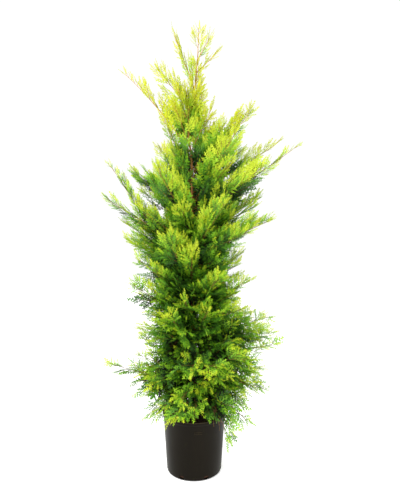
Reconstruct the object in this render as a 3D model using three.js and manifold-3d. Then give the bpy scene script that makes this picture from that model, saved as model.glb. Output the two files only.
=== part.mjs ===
// A potted leyland cypress: a black nursery pot full of compost, one whole trunk with a root flare,
// ascending boughs, and plumes of flat toothed sprays. Millimetres, +Z up.
// The origin is the middle of the pot's flat underside. +X is the plant's right, -Y its front.
import * as THREE from "three";
import { mergeVertices } from "three/addons/utils/BufferGeometryUtils.js";
import Module from "manifold-3d";

const wasm = await Module();
wasm.setup();

const { clamp, degToRad, lerp, mapLinear } = THREE.MathUtils;

// Driving sizes
const GAP = 0.3; // between neighbouring solids
const SLIVER = 0.15; // smaller facets left by fusing are smoothed away
const SEED = 11; // picks one plant out of the many that the growth rule can give

const POT = {
  height: 261,
  rimRadius: 143.5,
  rimEdge: 1,
  lipDepth: 12,
  lipSlope: 3,
  wallTopRadius: 140.5,
  wallFootRadius: 123,
  cornerRadius: 14,
  wall: 3,
  facets: 32,
};
const DRAIN = { count: 7, width: 22, height: 21, reachIn: 12 };
const COMPOST = { edgeHeight: 224, crownHeight: 232, shoulderRadius: 72, flatRadius: 30 };

const TRUNK = {
  radius: 16,
  tipRadius: 1.8,
  taper: 1.3,
  flare: 6,
  flareHeight: 18,
  sides: 8,
  steps: 22,
};
// The trunk's line above the compost: height, then how far it strays to the right and to the back.
const TRUNK_LINE = [
  [310, 0, 0],
  [700, -6, 5],
  [1256, -10, -4],
  [1420, -13, 0],
  [1590, -28, 3],
  [1740, 2, 4],
  [1885, 16, 1],
];
const LEADER = { name: "leader", tip: 2045, stray: 22 };

// Radii are shares: of the trunk's where the bough leaves it, and of the bough's own root.
const LIMB = { sides: 5, steps: 4, rootShare: 0.38, endShare: 0.6, thinnest: 3 };
const STEM = { steps: 3, tipRadius: 1.6, tipShare: 0.42 };
const TWIG = {
  spacing: 88,
  firstShare: 0.14,
  lengthShare: 0.34,
  shortest: 36,
  longest: 95,
  lean: 46,
  roll: 75,
  tries: 12,
  radiusShare: 0.6,
  // Its blades: how far along the twig each starts, and how far it turns from it.
  blades: [
    [0.9, 0],
    [0.25, 36],
    [0.55, -36],
  ],
};
const BLADE = {
  longest: 200,
  shortest: 85,
  step: 15,
  tip: 125,
  thickness: 0.05,
  hub: 0.12,
  sunk: 0.8,
  rooted: 0.25,
  twist: 55,
};
// One side of a blade's outline between its foot and tip, in blade lengths along and out: tooth, notch,
// tooth and notch.
const BLADE_EDGE = [
  [0.4, 0.29],
  [0.48, 0.11],
  [0.76, 0.18],
  [0.76, 0.06],
];
const CLEAR = { wood: 3, space: 2.5, pot: 9, mark: 14 };

// The boughs that make the outline seen from the front. azimuth is in degrees, 0 to the right and 90 to the
// back. root and tip are heights, reach is out from the trunk, bow lifts the middle, and limb is the share
// of the length that is bare wood with its own solid, 0 where the plume grows straight from the trunk.
const OUTLINE_BOUGHS = [
  { name: "right_01", azimuth: -24, root: 345, reach: 285, tip: 226, bow: 85, limb: 0 },
  { name: "right_02", azimuth: 12, root: 425, reach: 352, tip: 398, bow: 45, limb: 0 },
  { name: "right_03", azimuth: -19, root: 505, reach: 405, tip: 600, bow: 0, limb: 0.24 },
  { name: "right_04", azimuth: 9, root: 590, reach: 392, tip: 696, bow: 0, limb: 0 },
  { name: "right_05", azimuth: -12, root: 725, reach: 284, tip: 876, bow: 0, limb: 0 },
  { name: "right_06", azimuth: 24, root: 830, reach: 270, tip: 1000, bow: 0, limb: 0 },
  { name: "right_07", azimuth: -16, root: 985, reach: 372, tip: 1141, bow: -10, limb: 0.24 },
  { name: "right_08", azimuth: 13, root: 1075, reach: 342, tip: 1266, bow: -20, limb: 0 },
  { name: "right_09", azimuth: -7, root: 1182, reach: 480, tip: 1476, bow: -40, limb: 0.26 },
  { name: "right_10", azimuth: 15, root: 1262, reach: 448, tip: 1543, bow: -35, limb: 0.26 },
  { name: "right_11", azimuth: -20, root: 1345, reach: 288, tip: 1630, bow: -20, limb: 0 },
  { name: "left_01", azimuth: 201, root: 335, reach: 250, tip: 248, bow: 60, limb: 0 },
  { name: "left_02", azimuth: 166, root: 405, reach: 290, tip: 322, bow: 40, limb: 0 },
  { name: "left_03", azimuth: 186, root: 380, reach: 412, tip: 500, bow: -10, limb: 0.26 },
  { name: "left_04", azimuth: 171, root: 545, reach: 292, tip: 650, bow: 0, limb: 0 },
  { name: "left_05", azimuth: 195, root: 660, reach: 316, tip: 870, bow: 0, limb: 0 },
  { name: "left_06", azimuth: 178, root: 745, reach: 400, tip: 1405, bow: 55, limb: 0.34 },
  { name: "left_07", azimuth: 160, root: 900, reach: 375, tip: 1062, bow: -10, limb: 0 },
  { name: "left_08", azimuth: 197, root: 1000, reach: 420, tip: 1236, bow: -10, limb: 0.26 },
  { name: "left_09", azimuth: 166, root: 1205, reach: 340, tip: 1394, bow: -20, limb: 0 },
  { name: "left_10", azimuth: 204, root: 1290, reach: 136, tip: 1490, bow: 0, limb: 0 },
  { name: "top_01", azimuth: 186, root: 1445, reach: 335, tip: 1811, bow: 50, limb: 0.3 },
  { name: "top_02", azimuth: -28, root: 1560, reach: 66, tip: 1750, bow: 0, limb: 0 },
  { name: "top_03", azimuth: 170, root: 1640, reach: 196, tip: 1879, bow: 0, limb: 0 },
  { name: "top_04", azimuth: 190, root: 1735, reach: 108, tip: 2008, bow: 20, limb: 0 },
  { name: "top_05", azimuth: 8, root: 1812, reach: 136, tip: 1955, bow: -10, limb: 0 },
  { name: "top_06", azimuth: -20, root: 1868, reach: 96, tip: 2005, bow: -5, limb: 0 },
];

// The boughs that fill the front and the back. Each tier leans alternately to one side and the other, the
// upper ones further, so that the upper trunk shows between them.
const TIERS = { lowest: 350, highest: 1450, count: 10, lean: 20, topLean: 60, backOffset: 60 };
// How far the crown reaches at the front and back, and how steeply its boughs rise there, by height.
const CROWN = [
  { height: 300, reach: 250, rise: -20 },
  { height: 520, reach: 330, rise: 22 },
  { height: 850, reach: 270, rise: 42 },
  { height: 1200, reach: 280, rise: 48 },
  { height: 1420, reach: 130, rise: 60 },
  { height: 1560, reach: 60, rise: 72 },
];

const FINISHES = {
  pot: { color: 0x26231f, roughness: 0.55, metalness: 0 },
  compost: { color: 0x3a2417, roughness: 1, metalness: 0 },
  bark: { color: 0x6b4327, roughness: 0.95, metalness: 0 },
  foliage: { color: 0x86a92c, roughness: 0.75, metalness: 0 },
};

// The same number between 0 and 1 for the same two whole numbers, so the plant grows alike each time.
function chance(first, second) {
  const wave = Math.sin(first * 12.9898 + second * 78.233 + SEED * 37.719) * 43758.5453;
  return wave - Math.floor(wave);
}

// Solids from geometry

function solidOf(geometry) {
  const bare = geometry.clone();
  bare.deleteAttribute("normal");
  bare.deleteAttribute("uv");
  const merged = mergeVertices(bare, 1e-3);
  return new wasm.Manifold(
    new wasm.Mesh({
      numProp: 3,
      vertProperties: merged.attributes.position.array,
      triVerts: new Uint32Array(merged.index.array),
    }),
  );
}

function geometryOf(solid) {
  const mesh = solid.getMesh();
  const geometry = new THREE.BufferGeometry();
  geometry.setAttribute("position", new THREE.BufferAttribute(mesh.vertProperties, mesh.numProp));
  geometry.setIndex(new THREE.BufferAttribute(mesh.triVerts, 1));
  geometry.computeVertexNormals();
  return geometry;
}

// The largest body of a solid: a scrap that a cut leaves loose is dropped.
function mainBody(solid) {
  return solid.decompose().reduce((best, body) => (body.volume() > best.volume() ? body : best));
}

// A capped cylinder bent along a curve, with its radius given by the share of the way along.
function taperingLimb(curve, radiusAt, sides, steps) {
  const tube = new THREE.CylinderGeometry(1, 1, 1, sides, steps);
  const { normals, binormals } = curve.computeFrenetFrames(steps, false);
  const place = tube.attributes.position;
  for (let i = 0; i < place.count; i++) {
    const ring = Math.round((place.getY(i) + 0.5) * steps);
    const radius = radiusAt(ring / steps);
    const point = curve
      .getPointAt(ring / steps)
      .addScaledVector(normals[ring], place.getX(i) * radius)
      .addScaledVector(binormals[ring], -place.getZ(i) * radius);
    place.setXYZ(i, point.x, point.y, point.z);
  }
  return tube;
}

// A stretch of a longer curve, between two shares of its length.
class Stretch extends THREE.Curve {
  constructor(whole, from, to) {
    super();
    Object.assign(this, { whole, from, to });
  }

  getPoint(share, target = new THREE.Vector3()) {
    return this.whole.getPointAt(lerp(this.from, this.to, share), target);
  }
}

// Pot and compost

// The radius of the pot's straight wall at a height, outside and inside.
function wallOutside(height) {
  return mapLinear(height, 0, POT.height, POT.wallFootRadius, POT.wallTopRadius);
}

function wallInside(height) {
  return wallOutside(height) - POT.wall;
}

function makePot() {
  const lipFoot = POT.height - POT.lipDepth;
  const profile = new THREE.Path();
  profile.moveTo(0, 0);
  profile.lineTo(POT.wallFootRadius - POT.cornerRadius, 0);
  profile.quadraticCurveTo(POT.wallFootRadius, 0, wallOutside(POT.cornerRadius), POT.cornerRadius);
  profile.lineTo(wallOutside(lipFoot), lipFoot - POT.lipSlope);
  profile.lineTo(POT.rimRadius - POT.rimEdge, lipFoot);
  profile.lineTo(POT.rimRadius, POT.height - POT.rimEdge);
  profile.lineTo(POT.rimRadius - POT.rimEdge, POT.height);
  profile.lineTo(wallInside(POT.height), POT.height);
  profile.lineTo(wallInside(POT.cornerRadius), POT.cornerRadius);
  profile.lineTo(wallInside(0) - POT.cornerRadius, POT.wall);
  profile.lineTo(0, POT.wall);
  const shell = solidOf(new THREE.LatheGeometry(profile.getPoints(4), POT.facets).rotateX(Math.PI / 2));
  return drainSlots().reduce((pot, slot) => pot.subtract(slot), shell);
}

// Cutters for the slots through the pot's bottom corner, evenly round it, with one at the back.
function drainSlots() {
  return Array.from({ length: DRAIN.count }, (_, i) => {
    const slot = new THREE.BoxGeometry(2 * DRAIN.reachIn, DRAIN.width, 2 * DRAIN.height);
    slot.translate(POT.wallFootRadius, 0, 0);
    slot.rotateZ(Math.PI / 2 + (i * 2 * Math.PI) / DRAIN.count);
    return solidOf(slot);
  });
}

function makeCompost() {
  const floor = POT.wall + GAP;
  const profile = [
    [0, floor],
    [wallInside(0) - POT.cornerRadius - GAP, floor],
    [wallInside(POT.cornerRadius) - GAP, POT.cornerRadius],
    [wallInside(COMPOST.edgeHeight) - GAP, COMPOST.edgeHeight],
    [COMPOST.shoulderRadius, lerp(COMPOST.edgeHeight, COMPOST.crownHeight, 0.6)],
    [COMPOST.flatRadius, COMPOST.crownHeight],
    [0, COMPOST.crownHeight],
  ].map(([radius, height]) => new THREE.Vector2(radius, height));
  return solidOf(new THREE.LatheGeometry(profile, POT.facets).rotateX(Math.PI / 2));
}

// Trunk

const trunkFoot = COMPOST.crownHeight + GAP;
const trunkCurve = new THREE.CatmullRomCurve3([
  new THREE.Vector3(0, 0, trunkFoot),
  ...TRUNK_LINE.map(([height, right, back]) => new THREE.Vector3(right, back, height)),
]);

function trunkRadius(share) {
  const above = share * trunkCurve.getLength();
  const taper = (TRUNK.radius - TRUNK.tipRadius) * (1 - share) ** TRUNK.taper + TRUNK.tipRadius;
  return taper + TRUNK.flare * Math.exp(-above / TRUNK.flareHeight);
}

// The share of the way along the trunk's line that lies at a height, by halving.
function trunkShare(height) {
  let low = 0;
  let high = 1;
  while (high - low > 1e-5) {
    const middle = (low + high) / 2;
    if (trunkCurve.getPointAt(middle).z < height) low = middle;
    else high = middle;
  }
  return low;
}

function makeTrunk(grown = 0) {
  return solidOf(taperingLimb(trunkCurve, (share) => trunkRadius(share) + grown, TRUNK.sides, TRUNK.steps));
}

const trunkRoom = makeTrunk(1.5 * GAP); // cut from what grows out of the trunk, so it stays just clear

// Boughs

function crownAt(height) {
  const above = Math.max(1, CROWN.findIndex((row) => row.height >= height));
  const low = CROWN[above - 1];
  const high = CROWN[above];
  const between = (key) => mapLinear(height, low.height, high.height, low[key], high[key]);
  return { reach: between("reach"), rise: degToRad(between("rise")) };
}

// The front and back boughs, worked out tier by tier.
function fillingBoughs() {
  const step = (TIERS.highest - TIERS.lowest) / (TIERS.count - 1);
  const sides = [
    { name: "front", azimuth: -90, offset: 0 },
    { name: "back", azimuth: 90, offset: TIERS.backOffset },
  ];
  return sides.flatMap((side) =>
    Array.from({ length: TIERS.count }, (_, tier) => {
      const root = TIERS.lowest + tier * step + side.offset * (1 - tier / TIERS.count);
      const { reach, rise } = crownAt(root);
      const lean = lerp(TIERS.lean, TIERS.topLean, (tier / (TIERS.count - 1)) ** 2);
      return {
        name: `${side.name}_${String(tier + 1).padStart(2, "0")}`,
        azimuth: side.azimuth + (tier % 2 ? lean : -lean),
        root,
        reach,
        tip: root + reach * Math.tan(rise),
        bow: 0,
        limb: 0,
      };
    }),
  );
}

// A bough's whole line, from the trunk's middle to its tip.
function boughCurve(bough) {
  const foot = trunkCurve.getPointAt(trunkShare(bough.root));
  const turn = degToRad(bough.azimuth);
  const tip = new THREE.Vector3(bough.reach * Math.cos(turn), bough.reach * Math.sin(turn), bough.tip);
  const middle = foot.clone().lerp(tip, 0.5);
  middle.z += bough.bow;
  return new THREE.QuadraticBezierCurve3(foot, middle, tip);
}

function leaderCurve() {
  const foot = trunkCurve.getPointAt(1).addScaledVector(trunkCurve.getTangentAt(1), GAP);
  const tip = new THREE.Vector3(LEADER.stray, 0, LEADER.tip);
  return new THREE.QuadraticBezierCurve3(foot, foot.clone().lerp(tip, 0.5), tip);
}

function limbRootRadius(bough) {
  return Math.max(LIMB.thinnest, LIMB.rootShare * trunkRadius(trunkShare(bough.root)));
}

function limbRadius(bough, share) {
  return limbRootRadius(bough) * lerp(1, LIMB.endShare, share / bough.limb);
}

function makeLimb(bough) {
  const stretch = new Stretch(bough.curve, 0, bough.limb);
  const radiusAt = (share) => limbRadius(bough, share * bough.limb);
  const limb = solidOf(taperingLimb(stretch, radiusAt, LIMB.sides, LIMB.steps));
  return mainBody(limb.subtract(trunkRoom));
}

// Foliage

// A flat spray with teeth, thick at its hub and sharp at its edge: unit length along +X, face up +Z.
function toothedBlade() {
  const left = BLADE_EDGE.map(([along, out]) => new THREE.Vector3(along, out, 0));
  const right = BLADE_EDGE.map(([along, out]) => new THREE.Vector3(along, -out, 0));
  const ring = [new THREE.Vector3(), ...right, new THREE.Vector3(1, 0, 0), ...left.reverse()];
  const top = new THREE.Vector3(BLADE.hub, 0, BLADE.thickness / 2);
  const bottom = new THREE.Vector3(BLADE.hub, 0, -BLADE.thickness / 2);
  const corners = ring.flatMap((point, i) => {
    const next = ring[(i + 1) % ring.length];
    return [point, next, top, next, point, bottom];
  });
  return new THREE.BufferGeometry().setFromPoints(corners);
}

// A unit shape with the points that are tested for room: its corners and the middles of its sides.
function unitShape(geometry) {
  const place = (geometry.index ? geometry.toNonIndexed() : geometry).attributes.position;
  const corner = (i) => new THREE.Vector3().fromBufferAttribute(place, i);
  const tested = Array.from({ length: place.count }, (_, i) => {
    const next = i % 3 === 2 ? i - 2 : i + 1;
    return [corner(i), corner(i).lerp(corner(next), 0.5)];
  }).flat();
  const kept = mergeVertices(new THREE.BufferGeometry().setFromPoints(tested), 1e-3).attributes.position;
  const points = Array.from({ length: kept.count }, (_, i) => new THREE.Vector3().fromBufferAttribute(kept, i));
  return { geometry, points };
}

const unitBlade = unitShape(toothedBlade());
const unitTwig = unitShape(new THREE.ConeGeometry(1, 1, 3).translate(0, 0.5, 0).rotateZ(-Math.PI / 2));

// Where a unit shape goes: its +X along a direction and its +Z towards a face direction.
function setAlong(place, along, face, length, thickness) {
  const side = new THREE.Vector3().crossVectors(face, along).normalize();
  const up = new THREE.Vector3().crossVectors(along, side);
  const size = new THREE.Vector3(length, thickness, thickness);
  return new THREE.Matrix4().makeBasis(along, side, up).scale(size).setPosition(place);
}

// A curve as points about a mark's distance apart.
function marksAlong(curve, from, to) {
  const count = Math.max(2, Math.ceil((curve.getLength() * (to - from)) / CLEAR.mark));
  return Array.from({ length: count + 1 }, (_, i) => lerp(from, to, i / count));
}

function nearest(point, line) {
  return Math.sqrt(line.reduce((least, mark) => Math.min(least, mark.distanceToSquared(point)), Infinity));
}

function inThePot(point) {
  return point.z < POT.height + CLEAR.pot && Math.hypot(point.x, point.y) < POT.rimRadius + CLEAR.pot;
}

// Whether a point is nearer to its own plume's stem than to any other, short of the plume's tip, and clear
// of wood and pot.
function hasRoom(point, plume, plumes, wood) {
  if (inThePot(point)) return false;
  if (point.clone().sub(plume.tip).dot(plume.heading) > 0) return false;
  if (wood.some(({ mark, radius }) => mark.distanceTo(point) < radius + CLEAR.wood)) return false;
  const own = nearest(point, plume.line) + CLEAR.space;
  return plumes.every((other) => other === plume || nearest(point, other.line) > own);
}

// The longest blade that fits at a place, or null. Its outer part stays off what the plume has grown so far.
function fittingBlade(grown, place, along, face, longest, fits) {
  const foot = place.clone().addScaledVector(along, -BLADE.sunk);
  for (let length = longest; length >= BLADE.shortest; length -= BLADE.step) {
    const matrix = setAlong(foot, along, face, length, length);
    if (fits(unitBlade, matrix) && grown.intersect(solidOf(outerBlade(matrix))).isEmpty()) {
      return { length, solid: solidOf(unitBlade.geometry.clone().applyMatrix4(matrix)) };
    }
  }
  return null;
}

// A blade's outer part, drawn in towards its tip.
function outerBlade(matrix) {
  const outer = unitBlade.geometry.clone().scale(1 - BLADE.rooted, 1 - BLADE.rooted, 1);
  return outer.translate(BLADE.rooted, 0, 0).applyMatrix4(matrix);
}

function stemRadius(plume, share) {
  return lerp(plume.rootRadius, STEM.tipRadius, share);
}

// A plume with one more twig, which bears a blade at its end and one on each side where there is room.
function withTwig(plume, grown, key, share, hand, fits) {
  const place = plume.stem.getPointAt(share);
  const tangent = plume.stem.getTangentAt(share);
  const above = new THREE.Vector3().crossVectors(tangent, plume.across);
  const roll = degToRad(TWIG.roll * (2 * chance(key, 0) - 1));
  const out = plume.across.clone().multiplyScalar(hand * Math.cos(roll));
  out.addScaledVector(above, Math.sin(roll));
  const along = tangent.clone().applyAxisAngle(out.clone().cross(tangent), -degToRad(TWIG.lean));
  const face = new THREE.Vector3().crossVectors(tangent, along).normalize();
  const length = clamp(TWIG.lengthShare * plume.length * (1 - share), TWIG.shortest, TWIG.longest);
  const matrix = setAlong(place, along, face, length, TWIG.radiusShare * stemRadius(plume, share));
  if (!fits(unitTwig, matrix)) return { solid: grown, spread: 0 };
  const bare = { solid: grown.add(solidOf(unitTwig.geometry.clone().applyMatrix4(matrix))), spread: 0 };
  const longest = lerp(BLADE.longest, BLADE.tip, share);
  return TWIG.blades.reduce((twig, [at, turn], i) => {
    const way = along.clone().applyAxisAngle(face, degToRad(turn));
    const twist = degToRad(BLADE.twist * (2 * chance(key, i + 1) - 1));
    const foot = place.clone().addScaledVector(along, at * length);
    const blade = fittingBlade(twig.solid, foot, way, face.clone().applyAxisAngle(way, twist), longest, fits);
    return blade ? { solid: twig.solid.add(blade.solid), spread: twig.spread + blade.length ** 2 } : twig;
  }, bare);
}

// A plume with the fullest of a few twigs that could grow at one place.
function withFullestTwig(plume, grown, key, share, hand, fits) {
  const tries = Array.from({ length: TWIG.tries }, (_, i) => withTwig(plume, grown, key + i, share, hand, fits));
  return tries.reduce((best, next) => (next.spread > best.spread ? next : best)).solid;
}

// Works out a plume's stem on its bough's line. The blade at the tip ends where the bough's line ends.
function plumeOf({ name, curve, azimuth, limb, rootRadius }) {
  const whole = curve.getLength();
  const length = whole * (1 - limb);
  const tipBlade = Math.min(BLADE.tip, STEM.tipShare * length);
  const turn = degToRad(azimuth);
  return {
    name,
    length,
    tipBlade,
    rootRadius,
    stem: new Stretch(curve, limb + (limb ? GAP / whole : 0), 1 - (tipBlade - BLADE.sunk) / whole),
    line: marksAlong(curve, limb, 1).map((share) => curve.getPointAt(share)),
    tip: curve.getPointAt(1),
    heading: curve.getTangentAt(1),
    across: new THREE.Vector3(-Math.sin(turn), Math.cos(turn), 0),
  };
}

// A stem, its twigs by turns to the left and right, and a blade at each end, fused into one solid.
function makePlume(plume, index, plumes, wood) {
  const fits = (unit, matrix) =>
    unit.points.every((point) => hasRoom(point.clone().applyMatrix4(matrix), plume, plumes, wood));
  const radiusAt = (share) => stemRadius(plume, share);
  const stem = solidOf(taperingLimb(plume.stem, radiusAt, 3, STEM.steps)).subtract(trunkRoom);
  const along = plume.stem.getTangentAt(1);
  const foot = plume.stem.getPointAt(1).addScaledVector(along, -BLADE.sunk);
  const tip = setAlong(foot, along, plume.across, plume.tipBlade, plume.tipBlade);
  const count = Math.max(1, Math.floor((plume.length * (1 - TWIG.firstShare)) / TWIG.spacing));
  let grown = stem.add(solidOf(unitBlade.geometry.clone().applyMatrix4(tip)));
  for (let k = 0; k < count; k++) {
    const share = lerp(TWIG.firstShare, 1, k / count);
    grown = withFullestTwig(plume, grown, 100 * index + TWIG.tries * k, share, k % 2 ? 1 : -1, fits);
  }
  return mainBody(grown).asOriginal().simplify(SLIVER);
}

// The whole plant

const boughs = [...OUTLINE_BOUGHS, ...fillingBoughs()].map((bough) => {
  const curve = boughCurve(bough);
  const rootRadius = limbRootRadius(bough) * (bough.limb ? LIMB.endShare : 1);
  return { ...bough, curve, rootRadius };
});
const leader = { ...LEADER, curve: leaderCurve(), azimuth: 0, limb: 0, rootRadius: TRUNK.tipRadius };
const plumes = [...boughs, leader].map(plumeOf);
const limbed = boughs.filter((bough) => bough.limb);
const wood = [
  ...marksAlong(trunkCurve, 0, 1).map((share) => ({
    mark: trunkCurve.getPointAt(share),
    radius: trunkRadius(share),
  })),
  ...limbed.flatMap((bough) =>
    marksAlong(bough.curve, 0, bough.limb).map((share) => ({
      mark: bough.curve.getPointAt(share),
      radius: limbRadius(bough, share),
    })),
  ),
];

const materials = Object.fromEntries(
  Object.entries(FINISHES).map(([name, finish]) => [name, new THREE.MeshStandardMaterial({ name, ...finish })]),
);

function meshOf(name, solid, finish) {
  const mesh = new THREE.Mesh(geometryOf(solid), materials[finish]);
  mesh.name = name;
  return mesh;
}

const container = new THREE.Group();
container.add(meshOf("pot", makePot(), "pot"), meshOf("compost", makeCompost(), "compost"));

const woody = new THREE.Group();
woody.add(meshOf("trunk", makeTrunk(), "bark"));
woody.add(...limbed.map((bough) => meshOf(`bough_${bough.name}`, makeLimb(bough), "bark")));

const green = new THREE.Group();
green.add(
  ...plumes.map((plume, index) =>
    meshOf(`foliage_${plume.name}`, makePlume(plume, index, plumes, wood), "foliage"),
  ),
);

const plant = new THREE.Group();
plant.add(container, woody, green);

export default plant;
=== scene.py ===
"""A potted leyland cypress: black nursery pot, crumbly compost, fibrous bark and feathery lime-green sprays.

Metres, +Z up. The origin is the middle of the pot's flat underside. +X is the plant's right, -Y its front.
"""

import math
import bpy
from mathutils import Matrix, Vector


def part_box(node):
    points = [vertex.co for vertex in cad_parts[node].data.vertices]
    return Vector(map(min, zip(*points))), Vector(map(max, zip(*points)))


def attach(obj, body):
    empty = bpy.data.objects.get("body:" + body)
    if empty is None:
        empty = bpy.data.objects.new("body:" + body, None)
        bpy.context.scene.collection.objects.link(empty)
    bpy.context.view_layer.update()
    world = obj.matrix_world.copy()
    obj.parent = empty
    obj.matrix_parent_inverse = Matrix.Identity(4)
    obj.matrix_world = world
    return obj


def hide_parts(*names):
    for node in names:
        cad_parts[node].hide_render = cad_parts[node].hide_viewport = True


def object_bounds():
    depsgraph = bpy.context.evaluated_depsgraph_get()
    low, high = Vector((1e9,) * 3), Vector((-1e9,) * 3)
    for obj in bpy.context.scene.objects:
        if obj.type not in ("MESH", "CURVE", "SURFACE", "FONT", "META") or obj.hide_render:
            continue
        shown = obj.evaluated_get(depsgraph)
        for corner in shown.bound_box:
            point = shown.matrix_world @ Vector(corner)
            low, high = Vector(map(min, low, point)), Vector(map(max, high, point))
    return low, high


bl_info = {
    "name": "Potted Leyland Cypress",
    "version": (1, 0, 0),
    "blender": (4, 5, 0),
    "location": "View3D > Sidebar > Cypress",
    "description": "Dresses the plant's frame with a moulded pot, compost, bark, twigs and sprays",
    "category": "Add Mesh",
}

from typing import NamedTuple

import bmesh
import bpy
import numpy as np
from bpy.props import FloatProperty, FloatVectorProperty, IntProperty, PointerProperty
from bpy.types import Operator, Panel, PropertyGroup
from mathutils import Matrix, Vector, noise

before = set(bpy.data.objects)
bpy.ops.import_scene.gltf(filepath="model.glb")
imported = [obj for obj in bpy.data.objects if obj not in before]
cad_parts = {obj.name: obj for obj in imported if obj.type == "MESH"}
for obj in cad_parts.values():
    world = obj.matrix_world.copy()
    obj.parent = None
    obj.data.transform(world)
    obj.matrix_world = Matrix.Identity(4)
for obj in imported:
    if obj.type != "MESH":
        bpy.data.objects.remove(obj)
CAD_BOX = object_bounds()
POT_LOW, POT_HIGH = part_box("pot")
COMPOST_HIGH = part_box("compost")[1]
BODY = "root"
UP = np.array([0.0, 0.0, 1.0])
FULL_TURN = 2 * math.pi


# Sums


def unit(vectors):
    """Vectors made one long."""
    return vectors / np.linalg.norm(vectors, axis=-1, keepdims=True)


def turned(vectors, axes, angles):
    """Vectors turned about axes that they are square to."""
    return vectors * np.cos(angles)[..., None] + np.cross(axes, vectors) * np.sin(angles)[..., None]


def between(low, high, share):
    """The value a share of the way from low to high."""
    return low + (high - low) * share


def smooth_step(value, low, high):
    """0 below low, 1 above high, and smooth between."""
    t = np.clip((value - low) / (high - low), 0.0, 1.0)
    return t * t * (3 - 2 * t)


class Line:
    """A line of points that can be read at any distances along it."""

    heading_step = 0.008

    def __init__(self, points):
        self.points = points
        steps = np.linalg.norm(np.diff(points, axis=0), axis=1)
        self.marks = np.concatenate([[0], np.cumsum(steps)])
        self.length = self.marks[-1]

    def at(self, distances):
        """The places at distances from the start."""
        return np.stack([np.interp(distances, self.marks, self.points[:, k]) for k in range(3)], axis=-1)

    def headings(self, distances):
        """The ways the line points at distances from the start."""
        low = np.clip(distances - 0.5 * self.heading_step, 0, self.length - self.heading_step)
        return unit(self.at(low + self.heading_step) - self.at(low))


# The plant's growth, by the same rule as its solids


class Bough(NamedTuple):
    """One bough: its bearing in degrees, 0 to the right and 90 to the back, and its sizes in metres.

    Root and tip are heights. Bow raises the middle of its line, and limb is the share of it that is bare.
    """

    azimuth: float
    root: float
    reach: float
    tip: float
    bow: float = 0.0
    limb: float = 0.0


# The boughs of the outline, in the order of their solids, each group from its lowest up.
OUTLINE_BOUGHS = (
    # To the right
    Bough(-24, 0.345, 0.285, 0.226, bow=0.085),
    Bough(12, 0.425, 0.352, 0.398, bow=0.045),
    Bough(-19, 0.505, 0.405, 0.600, limb=0.24),
    Bough(9, 0.590, 0.392, 0.696),
    Bough(-12, 0.725, 0.284, 0.876),
    Bough(24, 0.830, 0.270, 1.000),
    Bough(-16, 0.985, 0.372, 1.141, bow=-0.010, limb=0.24),
    Bough(13, 1.075, 0.342, 1.266, bow=-0.020),
    Bough(-7, 1.182, 0.480, 1.476, bow=-0.040, limb=0.26),
    Bough(15, 1.262, 0.448, 1.543, bow=-0.035, limb=0.26),
    Bough(-20, 1.345, 0.288, 1.630, bow=-0.020),
    # To the left
    Bough(201, 0.335, 0.250, 0.248, bow=0.060),
    Bough(166, 0.405, 0.290, 0.322, bow=0.040),
    Bough(186, 0.380, 0.412, 0.500, bow=-0.010, limb=0.26),
    Bough(171, 0.545, 0.292, 0.650),
    Bough(195, 0.660, 0.316, 0.870),
    Bough(178, 0.745, 0.400, 1.405, bow=0.055, limb=0.34),
    Bough(160, 0.900, 0.375, 1.062, bow=-0.010),
    Bough(197, 1.000, 0.420, 1.236, bow=-0.010, limb=0.26),
    Bough(166, 1.205, 0.340, 1.394, bow=-0.020),
    Bough(204, 1.290, 0.136, 1.490),
    # Round the top
    Bough(186, 1.445, 0.335, 1.811, bow=0.050, limb=0.30),
    Bough(-28, 1.560, 0.066, 1.750),
    Bough(170, 1.640, 0.196, 1.879),
    Bough(190, 1.735, 0.108, 2.008, bow=0.020),
    Bough(8, 1.812, 0.136, 1.955, bow=-0.010),
    Bough(-20, 1.868, 0.096, 2.005, bow=-0.005),
)
LEADER_TIP = Vector((0.022, 0.0, 2.045))
# Slighter boughs that show in the outline between those.
SLIGHT_BOUGHS = (
    Bough(-40, 0.345, 0.215, 0.150, bow=0.130),
    Bough(-6, 0.430, 0.370, 0.355, bow=0.030),
    Bough(180, 0.420, 0.285, 0.530),
    Bough(185, 0.800, 0.290, 0.975),
    Bough(184, 1.100, 0.270, 1.290),
    Bough(4, 1.350, 0.160, 1.610),
    Bough(-4, 0.560, 0.395, 0.635),
    Bough(-12, 0.470, 0.345, 0.475),
    Bough(3, 1.280, 0.250, 1.485),
    Bough(184, 0.930, 0.345, 1.140),
)

# The front and back boughs, tier by tier: root heights, how many, and how far they lean aside by turns.
TIER_LOWEST = 0.350
TIER_HIGHEST = 1.450
TIER_COUNT = 10
TIER_LEAN = 20
TOP_LEAN = 60
BACK_OFFSET = 0.060
FRONT_BEARING = -90
BACK_BEARING = 90
# How far those boughs reach, and how steeply they rise in degrees, by height.
CROWN_HEIGHTS = (0.300, 0.520, 0.850, 1.200, 1.420, 1.560)
CROWN_REACHES = (0.250, 0.330, 0.270, 0.280, 0.130, 0.060)
CROWN_RISES = (-20, 22, 42, 48, 60, 72)
# The slighter boughs between them: seed, root heights, how many, how they crowd towards the bottom, the turn
# from one to the next in degrees, how far they reach and how steeply they rise.
BETWEEN_SEED = 3
BETWEEN_LOWEST = 0.335
BETWEEN_HIGHEST = 1.620
BETWEEN_COUNT = 78
BETWEEN_CROWDING = 1.3
BETWEEN_TURN = 137.5
BETWEEN_HEIGHTS = (0.300, 0.520, 0.850, 1.200, 1.380, 1.620)
BETWEEN_REACHES = (0.230, 0.290, 0.240, 0.230, 0.120, 0.090)
BETWEEN_RISES = (-18, 20, 40, 42, 48, 62)
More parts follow.
